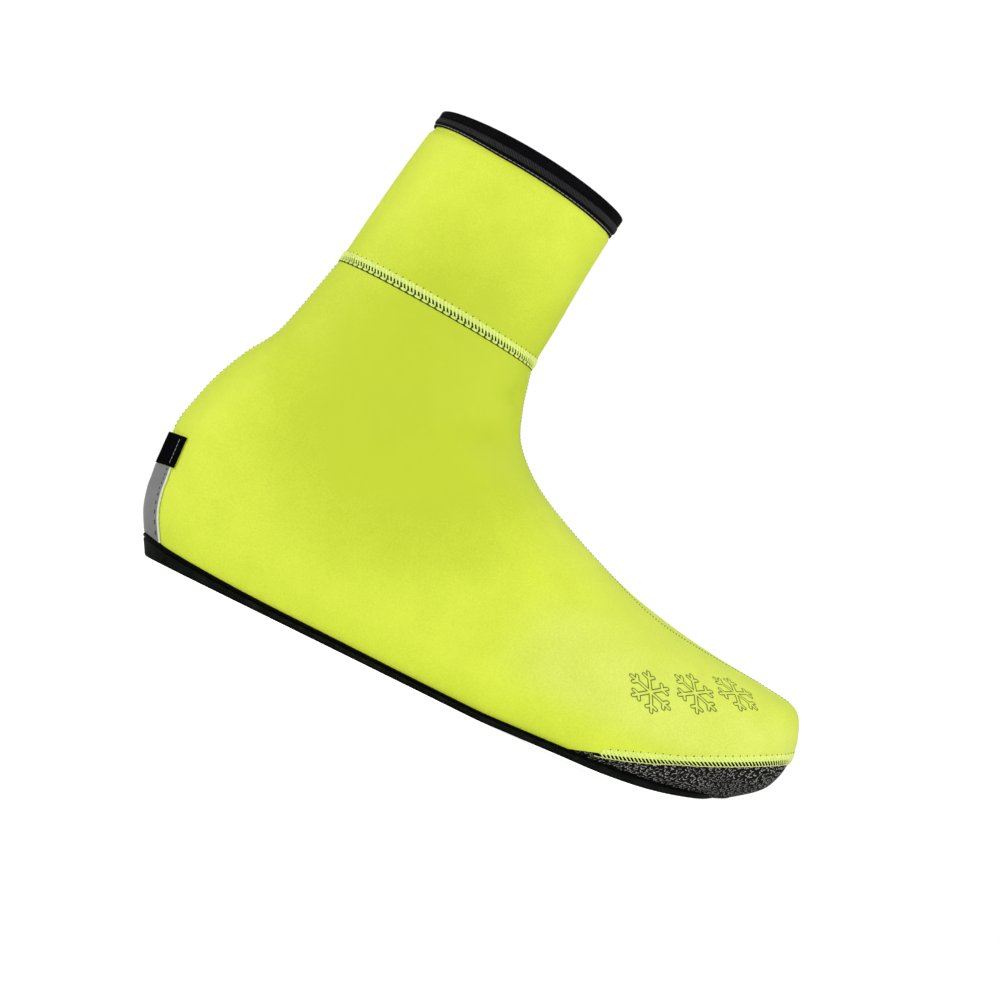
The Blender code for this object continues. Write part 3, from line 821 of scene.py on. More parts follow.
class Socket:
    """Output of a shader node. Sums on it are written as operators and add Math nodes."""

    def __init__(self, recipe: "Recipe", output: bpy.types.NodeSocket) -> None:
        """Wraps an output of a recipe's node."""
        self.recipe = recipe
        self.output = output

    def math(self, operation: str, first: object, second: object = None) -> "Socket":
        """Math node on one or two values or sockets."""
        values = {i: value for i, value in enumerate((first, second)) if value is not None}
        return self.recipe.node("ShaderNodeMath", {"operation": operation}, values)

    def __add__(self, other: object) -> "Socket":
        """Sum."""
        return self.math("ADD", self, other)

    def __radd__(self, other: object) -> "Socket":
        """Sum with a number before it."""
        return self.math("ADD", other, self)

    def __sub__(self, other: object) -> "Socket":
        """Difference."""
        return self.math("SUBTRACT", self, other)

    def __rsub__(self, other: object) -> "Socket":
        """Difference from a number."""
        return self.math("SUBTRACT", other, self)

    def __mul__(self, other: object) -> "Socket":
        """Product."""
        return self.math("MULTIPLY", self, other)

    def __rmul__(self, other: object) -> "Socket":
        """Product with a number before it."""
        return self.math("MULTIPLY", other, self)

    def __abs__(self) -> "Socket":
        """Size without its sign."""
        return self.math("ABSOLUTE", self)

    def __mod__(self, other: float) -> "Socket":
        """Remainder, never below zero."""
        return self.math("FLOORED_MODULO", self, other)

    def least(self, other: object) -> "Socket":
        """The smaller of two values."""
        return self.math("MINIMUM", self, other)

    def most(self, other: object) -> "Socket":
        """The larger of two values."""
        return self.math("MAXIMUM", self, other)

    def sine(self) -> "Socket":
        """Sine."""
        return self.math("SINE", self)

    def cosine(self) -> "Socket":
        """Cosine."""
        return self.math("COSINE", self)

    def root(self) -> "Socket":
        """Square root."""
        return self.math("SQRT", self)

    def fade(self, low: float, high: float) -> "Socket":
        """Smooth step from 0 at low to 1 at high, or falling if high is the smaller.

        Args:
            low: Value at which the step starts.
            high: Value at which it ends.

        Returns:
            The step.
        """
        rising = high > low
        ends = {"From Min": min(low, high), "From Max": max(low, high)}
        ends |= {"To Min": 0.0 if rising else 1.0, "To Max": 1.0 if rising else 0.0, "Value": self}
        return self.recipe.node("ShaderNodeMapRange", {"interpolation_type": "SMOOTHSTEP"}, ends)


class Recipe:
    """Node tree of one material, with its Principled shader."""

    def __init__(self, name: str, colour: Colour, **constants: object) -> None:
        """Starts a material.

        Args:
            name: Name of the material.
            colour: Its colour in the viewport, and on the shader until another is linked.
            constants: Values of the shader's own sockets, with underscores for spaces.
        """
        self.material = bpy.data.materials.new(name)
        self.material.use_nodes = True
        self.material.diffuse_color = (*colour, 1.0)
        self.tree = self.material.node_tree
        self.shader = self.tree.nodes["Principled BSDF"]
        self.shader.inputs["Base Color"].default_value = (*colour, 1.0)
        for key, value in constants.items():
            self.shader.inputs[key.replace("_", " ").title().replace("Ior", "IOR")].default_value = value

    def node(self, kind: str, settings: dict[str, object], inputs: dict, output: int | str = 0) -> Socket:
        """Adds any node.

        Args:
            kind: Its type.
            settings: Its own settings, set first.
            inputs: Values or sockets, by input name or number.
            output: The output that is wanted.

        Returns:
            That output.
        """
        made = self.tree.nodes.new(kind)
        for name, value in settings.items():
            setattr(made, name, value)
        for key, value in inputs.items():
            if isinstance(value, Socket):
                self.tree.links.new(value.output, made.inputs[key])
            else:
                made.inputs[key].default_value = value
        return Socket(self, made.outputs[output])

    def place(self) -> Socket:
        """Object coordinates, in metres."""
        return self.node("ShaderNodeTexCoord", {}, {}, "Object")

    def uv(self) -> tuple[Socket, Socket]:
        """The two coordinates of the piece's own UV map."""
        return self.axes(self.node("ShaderNodeUVMap", {"uv_map": "UVMap"}, {}))[:2]

    def cloth(self) -> Socket:
        """Place on the cloth in metres, from the piece's second UV map."""
        return self.node("ShaderNodeUVMap", {"uv_map": "cloth"}, {})

    def axes(self, vector: Socket) -> tuple[Socket, Socket, Socket]:
        """The three parts of a vector."""
        x, y, z = (self.node("ShaderNodeSeparateXYZ", {}, {"Vector": vector}, part) for part in "XYZ")
        return x, y, z

    def noise(self, grain: float, detail: float = 2.0, at: Socket | None = None) -> Socket:
        """Noise from 0 to 1 whose cells are about one grain across."""
        inputs = {"Vector": at or self.place(), "Scale": 1 / grain, "Detail": detail}
        return self.node("ShaderNodeTexNoise", {}, inputs, 0)

    def dot(self, vector: Socket, direction: Sequence[float]) -> Socket:
        """Length of a vector along a direction."""
        inputs = {0: vector, 1: direction}
        return self.node("ShaderNodeVectorMath", {"operation": "DOT_PRODUCT"}, inputs, "Value")

    def mix(self, share: Socket, first: object, second: object) -> Socket:
        """Colour between two colours.

        Args:
            share: Share of the second colour.
            first: A colour or a socket.
            second: A colour or a socket.

        Returns:
            The colour.
        """
        colours = [(*c, 1.0) if isinstance(c, tuple) else c for c in (first, second)]
        inputs = {0: share, 6: colours[0], 7: colours[1]}
        return self.node("ShaderNodeMix", {"data_type": "RGBA"}, inputs, 2)

    def bump(self, height: Socket, distance: float, strength: float = 1.0) -> None:
        """Feeds the shader's normal from a height, whose full range stands for a distance."""
        inputs = {"Height": height, "Distance": distance, "Strength": strength}
        self.feed("Normal", self.node("ShaderNodeBump", {}, inputs))

    def feed(self, name: str, value: Socket) -> None:
        """Links a value to one of the shader's sockets."""
        self.tree.links.new(value.output, self.shader.inputs[name])


@dataclass(frozen=True)
class Flake:
    """Place of one printed snow crystal on the skin, as its middle and its two directions."""

    middle: Vector
    right: Vector
    up: Vector


@dataclass(frozen=True)
class FlakeShape:
    """Sizes of a printed snow crystal: six arms, each with a pair of twigs, drawn as an outline."""

    arm: float = 6.9 * MM
    half_width: float = .55 * MM
    line: float = .38 * MM
    twigs: tuple[tuple[float, float], ...] = ((4.7 * MM, 1.8 * MM),)
    reach: float = 9.0 * MM
    stretch: float = 1.5
    blur: float = .08 * MM

    def ink(self, recipe: Recipe, place: Socket, flake: Flake) -> Socket:
        """Share of ink at a place.

        Args:
            recipe: The material that is being made.
            place: Object coordinates.
            flake: Where the crystal is printed.

        Returns:
            1 on its lines and 0 elsewhere.
        """
        out = flake.right.cross(flake.up)
        a = (recipe.dot(place, flake.right) - flake.middle.dot(flake.right)) * (1 / self.stretch)
        b = recipe.dot(place, flake.up) - flake.middle.dot(flake.up)
        c = recipe.dot(place, out) - flake.middle.dot(out)
        radius = (a * a + b * b).root()
        turn = a.math("ARCTAN2", b, a)
        folded = abs((turn + math.pi / 6) % (math.pi / 3) - math.pi / 6)
        x = radius * folded.cosine()
        y = radius * folded.sine()
        past = (x - self.arm).most(0.0)
        away = (past * past + y * y).root()
        cos_twig, sin_twig = math.cos(math.pi / 3), math.sin(math.pi / 3)
        for start, length in self.twigs:
            q = x - start
            run = (q * cos_twig + y * sin_twig).most(0.0).least(length)
            dx = q - run * cos_twig
            dy = y - run * sin_twig
            away = away.least((dx * dx + dy * dy).root())
        line = abs(away - self.half_width).fade(self.line / 2 + self.blur, self.line / 2 - self.blur)
        near = radius.fade(self.reach + .1 * MM, self.reach) * abs(c).fade(self.reach + MM, self.reach)
        return line * near


@dataclass(frozen=True)
class NeopreneFinish:
    """Fluorescent jersey face on foam: fine knit grain, faint mottling, a soft sheen, painted shade round the
    ankle and a painted highlight over the toe.
    """

    name: str
    colour: Colour = (.710, .825, .058)
    # Deeper tone for the random mottle and grain, and for the painted shade round the ankle.
    deep: Colour = (.530, .640, .022)
    # Paler tone painted over the toe as a highlight.
    pale: Colour = (.725, .815, .155)
    ink: Colour = (.035, .070, .010)
    grain: float = .6 * MM
    ankle: tuple[float, float] = (-54 * MM, 106 * MM)
    ankle_reach: tuple[float, float] = (92 * MM, 30 * MM)
    toe_reach: tuple[float, float] = (8 * MM, 42 * MM)
    toe_low: tuple[float, float] = (14 * MM, 30 * MM)
    toe_high: tuple[float, float] = (66 * MM, 46 * MM)
    flakes: tuple[Flake, ...] = ()
    flake_shape: FlakeShape = FlakeShape()

    def make(self) -> bpy.types.Material:
        """Builds the material.

        Returns:
            The material.
        """
        # Faint glow in the cloth's own colour: partly its fluorescence, partly painted light that lifts its
        # shaded sides.
        recipe = Recipe(
            self.name, self.colour, roughness=.62, sheen_weight=.25, sheen_roughness=.45,
            specular_ior_level=.35, emission_strength=.05,
        )
        recipe.shader.inputs["Sheen Tint"].default_value = (.85, 1.0, .35, 1.0)
        recipe.shader.inputs["Emission Color"].default_value = (*self.colour, 1.0)
        place = recipe.place()
        grain = recipe.noise(self.grain, 3.0, place)
        mottle = recipe.noise(14 * MM, 2.0, place)
        x, _, z = recipe.axes(place)
        across, above = x - self.ankle[0], z - self.ankle[1]
        # Painted shade: the cloth is darkened round the ankle.
        ankle = (across * across + above * above).root().fade(*self.ankle_reach)
        # Painted highlight: the cloth is paler over the toe.
        toe = x.fade(*self.toe_reach) * z.fade(*self.toe_low) * z.fade(*self.toe_high)
        # Mottle and grain vary the tone at random; the ankle's share is painted shade.
        share = mottle.fade(.25, .8) * .2 + grain.fade(.3, .7) * .35 + ankle * .9
        colour = recipe.mix(toe * .85, self.colour, self.pale)
        colour = recipe.mix(share, colour, self.deep)
        height = grain * .7 + recipe.noise(1.1 * MM, 2.0, place) * .5
        if self.flakes:
            ink = None
            for flake in self.flakes:
                mask = self.flake_shape.ink(recipe, place, flake)
                ink = mask if ink is None else ink.most(mask)
            colour = recipe.mix(ink * .92, colour, self.ink)
            height = height - ink * .6
        recipe.feed("Base Color", colour)
        recipe.bump(height, .12 * MM, .8)
        return recipe.material


@dataclass(frozen=True)
class PlainCloth:
    """Plain cloth with a fine grain and slight unevenness of colour."""

    name: str
    colour: Colour
    light: Colour
    grain: float
    roughness: float
    sheen: float
    relief: float = .1 * MM
    spread: float = .6

    def make(self) -> bpy.types.Material:
        """Builds the material.

        Returns:
            The material.
        """
        recipe = Recipe(self.name, self.colour, roughness=self.roughness, sheen_weight=self.sheen)
        place = recipe.place()
        grain = recipe.noise(self.grain, 2.0, place)
        share = grain.fade(.35, .75) * self.spread
        recipe.feed("Base Color", recipe.mix(share, self.colour, self.light))
        recipe.bump(grain, self.relief)
        return recipe.material


@dataclass(frozen=True)
class GuardCloth:
    """Coarse black abrasion cloth: short crossing loops with light flecks on their tops."""

    name: str
    colour: Colour = (.006, .006, .006)
    fleck: Colour = (.66, .65, .62)
    cell: float = 1.62 * MM
    half_length: float = .50 * MM
    radius: float = .17 * MM
    bend: float = 700.0

    def make(self) -> bpy.types.Material:
        """Builds the material.

        Returns:
            The material.
        """
        recipe = Recipe(self.name, self.colour, roughness=.8, specular_ior_level=.05)
        place = recipe.cloth()
        settings = {"voronoi_dimensions": "2D", "feature": "F1"}
        cells = {"Vector": place, "Scale": 1 / self.cell, "Randomness": .8}
        middle = recipe.node("ShaderNodeTexVoronoi", settings, cells, "Position")
        chance = recipe.node("ShaderNodeTexVoronoi", settings, cells, "Color")
        red, green, _ = recipe.axes(chance)
        offset = recipe.node("ShaderNodeVectorMath", {"operation": "SUBTRACT"}, {0: place, 1: middle})
        x, y, _ = recipe.axes(offset)
        angle = red * math.pi
        run = x * angle.cosine() + y * angle.sine()
        side = y * angle.cosine() - x * angle.sine() + run * run * self.bend
        past = (abs(run) - self.half_length).most(0.0)
        away = (past * past + side * side).root()
        loop = away.fade(self.radius + .10 * MM, self.radius - .06 * MM)
        light = loop * green.fade(-.25, .6) * (recipe.noise(6 * MM, 1.0) * .6 + .5)
        recipe.feed("Base Color", recipe.mix(light, self.colour, self.fleck))
        recipe.bump(loop, .25 * MM)
        return recipe.material


@dataclass(frozen=True)
class ReflectiveFinish:
    """Grey reflective tape: fine glass beads, faint clouds, and a pale cut edge."""

    name: str
    colour: Colour = (.222, .215, .224)
    cloud: Colour = (.20, .195, .205)
    edge: Colour = (.82, .83, .80)
    edge_share: float = .005
    edge_blur: float = .003

    def make(self) -> bpy.types.Material:
        """Builds the material.

        Returns:
            The material.
        """
        recipe = Recipe(self.name, self.colour, roughness=.42, metallic=.15, specular_ior_level=.6)
        place = recipe.place()
        u, _ = recipe.uv()
        clouds = recipe.noise(6 * MM, 2.0, place)
        beads = recipe.noise(.25 * MM, 1.0, place)
        share = clouds.fade(.3, .7) * .45 + beads.fade(.4, .65) * .25
        colour = recipe.mix(share, self.colour, self.cloud)
        ends = (self.edge_share + self.edge_blur, self.edge_share)
        edge = u.fade(*ends).most((1 - u).fade(*ends))
        recipe.feed("Base Color", recipe.mix(edge, colour, self.edge))
        recipe.bump(beads, .04 * MM)
        return recipe.material


@dataclass(frozen=True)
class WovenTape:
    """Black woven or folded tape: fine ribs along its width, a soft gloss, a painted highlight on the rib
    tops and a slight random grain.
    """

    name: str
    roughness: float
    specular: float
    ribs: float = .55 * MM
    colour: Colour = (.002, .002, .0025)
    light: Colour = (.006, .006, .007)

    def make(self) -> bpy.types.Material:
        """Builds the material.

        Returns:
            The material.
        """
        recipe = Recipe(self.name, self.colour, roughness=self.roughness, specular_ior_level=self.specular)
        u, v, _ = recipe.axes(recipe.cloth())
        ribs = ((u + v * .4) * (2 * math.pi / self.ribs)).sine() * .5 + .5
        grain = recipe.noise(.6 * MM, 2.0)
        # Painted highlight: the rib tops are lighter; the grain varies the tone at random.
        share = ribs * .35 + grain.fade(.4, .7) * .4
        recipe.feed("Base Color", recipe.mix(share, self.colour, self.light))
        recipe.bump(ribs * .6 + grain * .6, .10 * MM)
        return recipe.material


@dataclass(frozen=True)
class SoleFinish:
    """Black rubberised cloth with a low gloss and a fine pebble."""

    name: str
    colour: Colour = (.003, .004, .003)
    light: Colour = (.010, .013, .009)
    pebble: float = .8 * MM

    def make(self) -> bpy.types.Material:
        """Builds the material.

        Returns:
            The material.
        """
        recipe = Recipe(self.name, self.colour, roughness=.46, specular_ior_level=.07)
        place = recipe.place()
        cells = {"Vector": place, "Scale": 1 / self.pebble}
        pebble = recipe.node("ShaderNodeTexVoronoi", {"feature": "SMOOTH_F1"}, cells)
        clouds = recipe.noise(5 * MM, 2.0, place)
        recipe.feed("Base Color", recipe.mix(clouds.fade(.35, .8) * .8, self.colour, self.light))
        recipe.feed("Roughness", clouds * .25 + .36)
        recipe.bump(pebble * -.8 + clouds * .5, .08 * MM)
        return recipe.material


class Finish(Enum):
    """Finishes of the overshoe, by the names of their materials."""

    NEOPRENE = "neoprene_printed"
    CUFF_NEOPRENE = "neoprene_plain"
    LINING = "lining_jersey"
    THREAD = "seam_thread"
    PALE_THREAD = "pale_seam_thread"
    GAP = "seam_gap"
    # Painted shade: dark green for the needle holes and the cuff seam's lower edge.
    HOLE = "painted_seam_shade"
    GUARD = "abrasion_fabric"
    REFLECTIVE = "reflective"
    WEBBING = "woven_tape"
    BINDING = "folded_binding"
    RIB_THREAD = "cover_stitch_thread"
    GREY_THREAD = "grey_thread"
    SOLE = "sole_fabric"


@dataclass
class Wardrobe:
    """The finishes, each made once."""

    flakes: tuple[Flake, ...]
    materials: dict[Finish, bpy.types.Material] = field(init=False)

    def __post_init__(self) -> None:
        """Builds every material."""
        threads = (
            (Finish.LINING, (.030, .031, .033), (.065, .066, .07), .9 * MM, .75, .2),
            (Finish.THREAD, (.66, .82, .09), (.84, .93, .30), .35 * MM, .75, .2),
            (Finish.PALE_THREAD, (.78, .90, .20), (.90, .97, .50), .35 * MM, .75, .2),
            (Finish.GAP, (.014, .034, .003), (.034, .080, .007), .4 * MM, .8, .0),
            (Finish.HOLE, (.018, .040, .003), (.045, .090, .008), .4 * MM, .8, .0),
            (Finish.RIB_THREAD, (.005, .005, .006), (.022, .022, .024), .3 * MM, .6, .0),
            (Finish.GREY_THREAD, (.20, .20, .21), (.42, .42, .43), .3 * MM, .6, .2),
        )
        finishes = (
            NeopreneFinish(Finish.NEOPRENE.value, flakes=self.flakes),
            NeopreneFinish(Finish.CUFF_NEOPRENE.value),
            GuardCloth(Finish.GUARD.value),
            ReflectiveFinish(Finish.REFLECTIVE.value),
            SoleFinish(Finish.SOLE.value),
            WovenTape(Finish.WEBBING.value, ribs=.8 * MM, roughness=.8, specular=.0),
            WovenTape(Finish.BINDING.value, roughness=.36, specular=.015),
            *(PlainCloth(finish.value, *sizes) for finish, *sizes in threads),
        )
        self.materials = {Finish(finish.name): finish.make() for finish in finishes}

    def __getitem__(self, finish: Finish) -> bpy.types.Material:
        """Material of a finish."""
        return self.materials[finish]


@dataclass
class Neoprene:
    """The two neoprene panels: the foot's upper and the ankle cuff."""

    last: Last
    wardrobe: Wardrobe
    columns: int = 440
    upper_rows: int = 102
    cuff_rows: int = 60

    def build(self) -> None:
        """Models and dresses both panels."""
        self._upper()
        self._cuff()

    def _thicken(self, piece: bpy.types.Object, material: bpy.types.Material, slot: str, node: str) -> None:
        """Gives a panel its wall, with the lining inside, and finishes it.

        Args:
            piece: The panel's outer face.
            material: Its finish outside.
            slot: Its material slot.
            node: Solid that it stands for.
        """
        piece.data.materials.append(material)
        piece.data.materials.append(self.wardrobe[Finish.LINING])
        Bench.modify(
            piece, "SOLIDIFY", thickness=self.last.sizes.wall, offset=-1.0, use_rim=True,
            use_even_offset=False, material_offset=1, material_offset_rim=0,
        )
        Bench.finish(piece, slot, (material, self.wardrobe[Finish.LINING]), (node,))

    def _upper(self) -> None:
        """Foot part, from the sole's edge and the toe guard up to the cuff seam."""
        last = self.last
        half_butt = last.sizes.butt_gap / 2

        def place(u: Array, v: Array) -> Array:
            """Points of the panel.

            Args:
                u: Places across the sheet, from 0 to 1.
                v: Places up the sheet, from 0 to 1.

            Returns:
                The points.
            """
            turn = 2 * (1 - u)
            columns, index = np.unique(turn, return_inverse=True)
            low = last.guard_t(columns, half_butt)[index]
            top = (CUFF_SEAM_T - half_butt / last.climb(np.array(CUFF_SEAM_T), columns))[index]
            return last.surface(low + (top - low) * v, turn)
        piece = Bench.grid("upper_panel", self.columns, self.upper_rows, place, True)
        self._thicken(piece, self.wardrobe[Finish.NEOPRENE], "neoprene", "upper")

    def _cuff(self) -> None:
        """Tube from the cuff seam up to the collar."""
        last = self.last
        low = CUFF_SEAM_T + last.sizes.butt_gap / 2 / float(last.climb(np.array(CUFF_SEAM_T), np.array(.5)))

        def place(u: Array, v: Array) -> Array:
            """Points of the tube.

            Args:
                u: Places across the sheet, from 0 to 1.
                v: Places up the sheet, from 0 to 1.

            Returns:
                The points.
            """
            return last.pressed(low + (COLLAR_T - low) * v, 2 * (1 - u))
        piece = Bench.grid("cuff_panel", self.columns // 2, self.cuff_rows, place, True)
        self._thicken(piece, self.wardrobe[Finish.CUFF_NEOPRENE], "neoprene", "ankle_cuff")


@dataclass
class Strands:
    """One row of short threads across a seam, from their upper to their lower end."""

    top: float
    bottom: float
    lean: float
    top_radius: float
    bottom_radius: float
    rise: float
    sink: float = .15 * MM
    points: int = 8


@dataclass
class Flatlock:
    """Raised flatlock seam: base band, threads across it and along its lower edge, needle holes above."""

    name: str
    node: str
    line: SeamLine
    wardrobe: Wardrobe
    profile: tuple[tuple[float, float, Finish], ...]
    strands: Strands
    ring: bool
    looper: Finish
    pads: bool
    pitch: float = 1.65 * MM
    band_step: float = 1.2 * MM
    band_wall: float = .2 * MM
    looper_across: float = -2.42 * MM
    looper_radius: float = .17 * MM
    looper_wave: float = .10 * MM
    pad_across: float = -1.6 * MM
    pad_radius: float = .66 * MM
    hole_across: float = 2.75 * MM
    hole_radius: float = .46 * MM

    def build(self) -> None:
        """Models and dresses the seam."""
        self._band()
        self._threads()
        if self.pads:
            self._pads()
        self._looper()
        self._holes()

    def _wrap(self, run: Array) -> Array:
        """Lengths kept on the line."""
        return run % self.line.length if self.ring else np.clip(run, 0.0, self.line.length)

    def _band(self) -> None:
        """Low band under the threads: panel edge above, and dark where the threads part. On the cuff seam the
        dark rows are partly painted shade between and under the threads.
        """
        count = int(self.line.length / self.band_step)
        rows = len(self.profile) - 1
        across, rise = (np.array([point[k] for point in self.profile][::-1]) for k in (0, 1))
        spots = np.linspace(0, 1, rows + 1)

        def place(u: Array, v: Array) -> Array:
            """Points of the band, from its lower edge up.

            Args:
                u: Places across the sheet, from 0 to 1.
                v: Places up the sheet, from 0 to 1.

            Returns:
                The points.
            """
            height = np.interp(v, spots, rise)
            return self.line.place((1 - u) * self.line.length, np.interp(v, spots, across), height)[0]
        piece = Bench.grid(f"{self.name}_band", count, rows, place, self.ring)
        finishes = list(dict.fromkeys(point[2] for point in self.profile[:-1]))
        materials = [self.wardrobe[finish] for finish in finishes]
        for material in materials:
            piece.data.materials.append(material)
        row_index = [finishes.index(point[2]) for point in self.profile[:-1]][::-1]
        indices = np.repeat(np.array(row_index, np.int32), count)
        piece.data.polygons.foreach_set("material_index", indices)
        Bench.modify(piece, "SOLIDIFY", thickness=self.band_wall, offset=-1.0)
        Bench.finish(piece, "thread", materials, (self.node,))

    def _starts(self) -> Array:
        """Lengths along the line at which the threads stand."""
        count = 2 * int(round(self.line.length / self.pitch / 2))
        return (np.arange(count) + .5) * self.line.length / count

    def _threads(self) -> None:
        """Row of threads across the band."""
        strands = self.strands
        u = np.linspace(0, 1, strands.points)[None, :]
        run = self._wrap(self._starts()[:, None] + strands.lean * (u - .5))
        across = np.broadcast_to(strands.top + (strands.bottom - strands.top) * u, run.shape)
        arch = np.sqrt(np.clip(1 - (2 * u - 1) ** 4, 0.0, 1.0))
        height = strands.rise * arch - strands.sink * (1 - arch)
        centre, up = self.line.place(run, across, np.broadcast_to(height, run.shape))
        radius = strands.top_radius + (strands.bottom_radius - strands.top_radius) * u
        piece = Bench.tubes(f"{self.name}_threads", centre, up, np.broadcast_to(radius, run.shape), 6)
        Bench.finish(piece, "thread", (self.wardrobe[Finish.PALE_THREAD],))

    def _pads(self) -> None:
        """Full loops side by side along the lower edge, each as long as two threads are apart."""
        shape = np.array([.35, .78, .95, 1.0, .95, .78, .35])
        reach = np.linspace(-.5, .5, len(shape))
        run = self._wrap(self._starts()[::2][:, None] + reach[None, :] * 2 * self.pitch * .94)
        across = np.full_like(run, self.pad_across)
        centre, up = self.line.place(run, across, np.full_like(run, -.20 * MM))
        piece = Bench.tubes(f"{self.name}_loops", centre, up, self.pad_radius * shape[None, :], 8)
        Bench.finish(piece, "thread", (self.wardrobe[Finish.THREAD],))

    def _looper(self) -> None:
        """Thread that runs along the seam's lower edge in small waves; in the cuff seam's dark finish it is a
        painted shadow line.
        """
        waves = len(self._starts()) // 2
        count = waves * 10
        run = np.arange(count) * self.line.length / (count if self.ring else count - 1)
        wave = np.cos(2 * np.pi * run / self.line.length * waves)
        across = self.looper_across + self.looper_wave * wave
        centre, up = self.line.place(run, across, np.full_like(run, .06 * MM))
        piece = Bench.tubes(f"{self.name}_looper", centre[None], up[None], self.looper_radius, 6, self.ring)
        Bench.finish(piece, "thread", (self.wardrobe[self.looper],))

    def _holes(self) -> None:
        """Needle holes above the seam, one for every second thread, as dark spots of painted shade."""
        shape = np.array([.35, .85, 1.0, .85, .35])
        run = self._wrap(self._starts()[::2][:, None] + np.linspace(-.7, .7, 5)[None, :] * self.hole_radius)
        across = np.full_like(run, self.hole_across)
        centre, up = self.line.place(run, across, np.full_like(run, -.55 * self.hole_radius))
        piece = Bench.tubes(f"{self.name}_holes", centre, up, self.hole_radius * shape[None, :], 6)
        Bench.finish(piece, "thread", (self.wardrobe[Finish.HOLE],))


@dataclass
class ToeGuard:
    """Abrasion panel round the toe, under the toe seam."""

    last: Last
    wardrobe: Wardrobe
    tip: float
    columns: int = 170
    rows: int = 38
    wrap: tuple[tuple[float, float], ...] = (
        (5.0 * MM, .25 * MM), (1.4 * MM, .25 * MM), (.45 * MM, .15 * MM), (.08 * MM, .05 * MM),
    )

    def build(self) -> None:
        """Models and dresses the panel."""
        last, sizes = self.last, self.last.sizes

        def place(u: Array, v: Array) -> Array:
            """Points of the panel.

            Args:
                u: Places across the sheet, from 0 to 1.
                v: Places up the sheet, from 0 to 1.

            Returns:
                The points.
            """
            turn = self.tip * (1 - 2 * u)
            columns, index = np.unique(turn, return_inverse=True)
            top = last.guard_t(columns, -sizes.butt_gap / 2)[index]
            row = v * self.rows
            up = np.clip((row - len(self.wrap)) / (self.rows - len(self.wrap)), 0.0, 1.0)
            points = last.surface(top * up, turn, -sizes.guard_inset * fade(up, .15, .6))
            spots = range(len(self.wrap) + 1)
            inset, drop = (np.interp(row, spots, [*part, 0.0]) for part in zip(*self.wrap))
            inward = last.normal(np.zeros_like(turn), turn) * inset[:, None]
            inward[:, 2] = drop + last.guard_drop(turn) * (1 - fade(top * up, 0.0, 1.1))
            return points - inward
        piece = Bench.grid("toe_guard_panel", self.columns, self.rows, place, False)
        Bench.modify(piece, "SOLIDIFY", thickness=sizes.wall - sizes.guard_inset, offset=-1.0, use_rim=True)
        Bench.finish(piece, "abrasion_fabric", (self.wardrobe[Finish.GUARD],), ("toe_guard",))


@dataclass
class SoleTape:
    """Narrow folded tape bound round the top of the sole's rim."""

    last: Last
    wardrobe: Wardrobe
    columns: int = 420

    def build(self) -> None:
        """Models and dresses the tape."""
        last, sizes = self.last, self.last.sizes
        angle = np.linspace(0, np.pi, 9)
        shares = np.concatenate([(1 - np.cos(angle)) / 2, [0.0]])
        rises = np.concatenate([np.sin(angle) ** .7, [0.0]])
        spots = np.linspace(0, 1, len(shares))

        def place(u: Array, v: Array) -> Array:
            """Points round the tape's outside, and back along its flat inside.

            Args:
                u: Places across the sheet, from 0 to 1.
                v: Places up the sheet, from 0 to 1.

            Returns:
                The points.
            """
            turn = 2 * (1 - u)
            share, rise = np.interp(v, spots, shares), np.interp(v, spots, rises)
            height = last.rim_height(turn) + sizes.tape_gap * share + share * sizes.tape_height
            reach = (sizes.gap + rise * sizes.tape_thickness) * last.toe_thinning(turn) - last.toe_sink(turn)
            return last.surface(last.level_t(turn, height), turn, reach)
        piece = Bench.grid("sole_binding", self.columns, len(shares) - 1, place, True)
        Bench.face_outwards(piece)
        Bench.finish(piece, "binding", (self.wardrobe[Finish.BINDING],), ("sole_tape",))


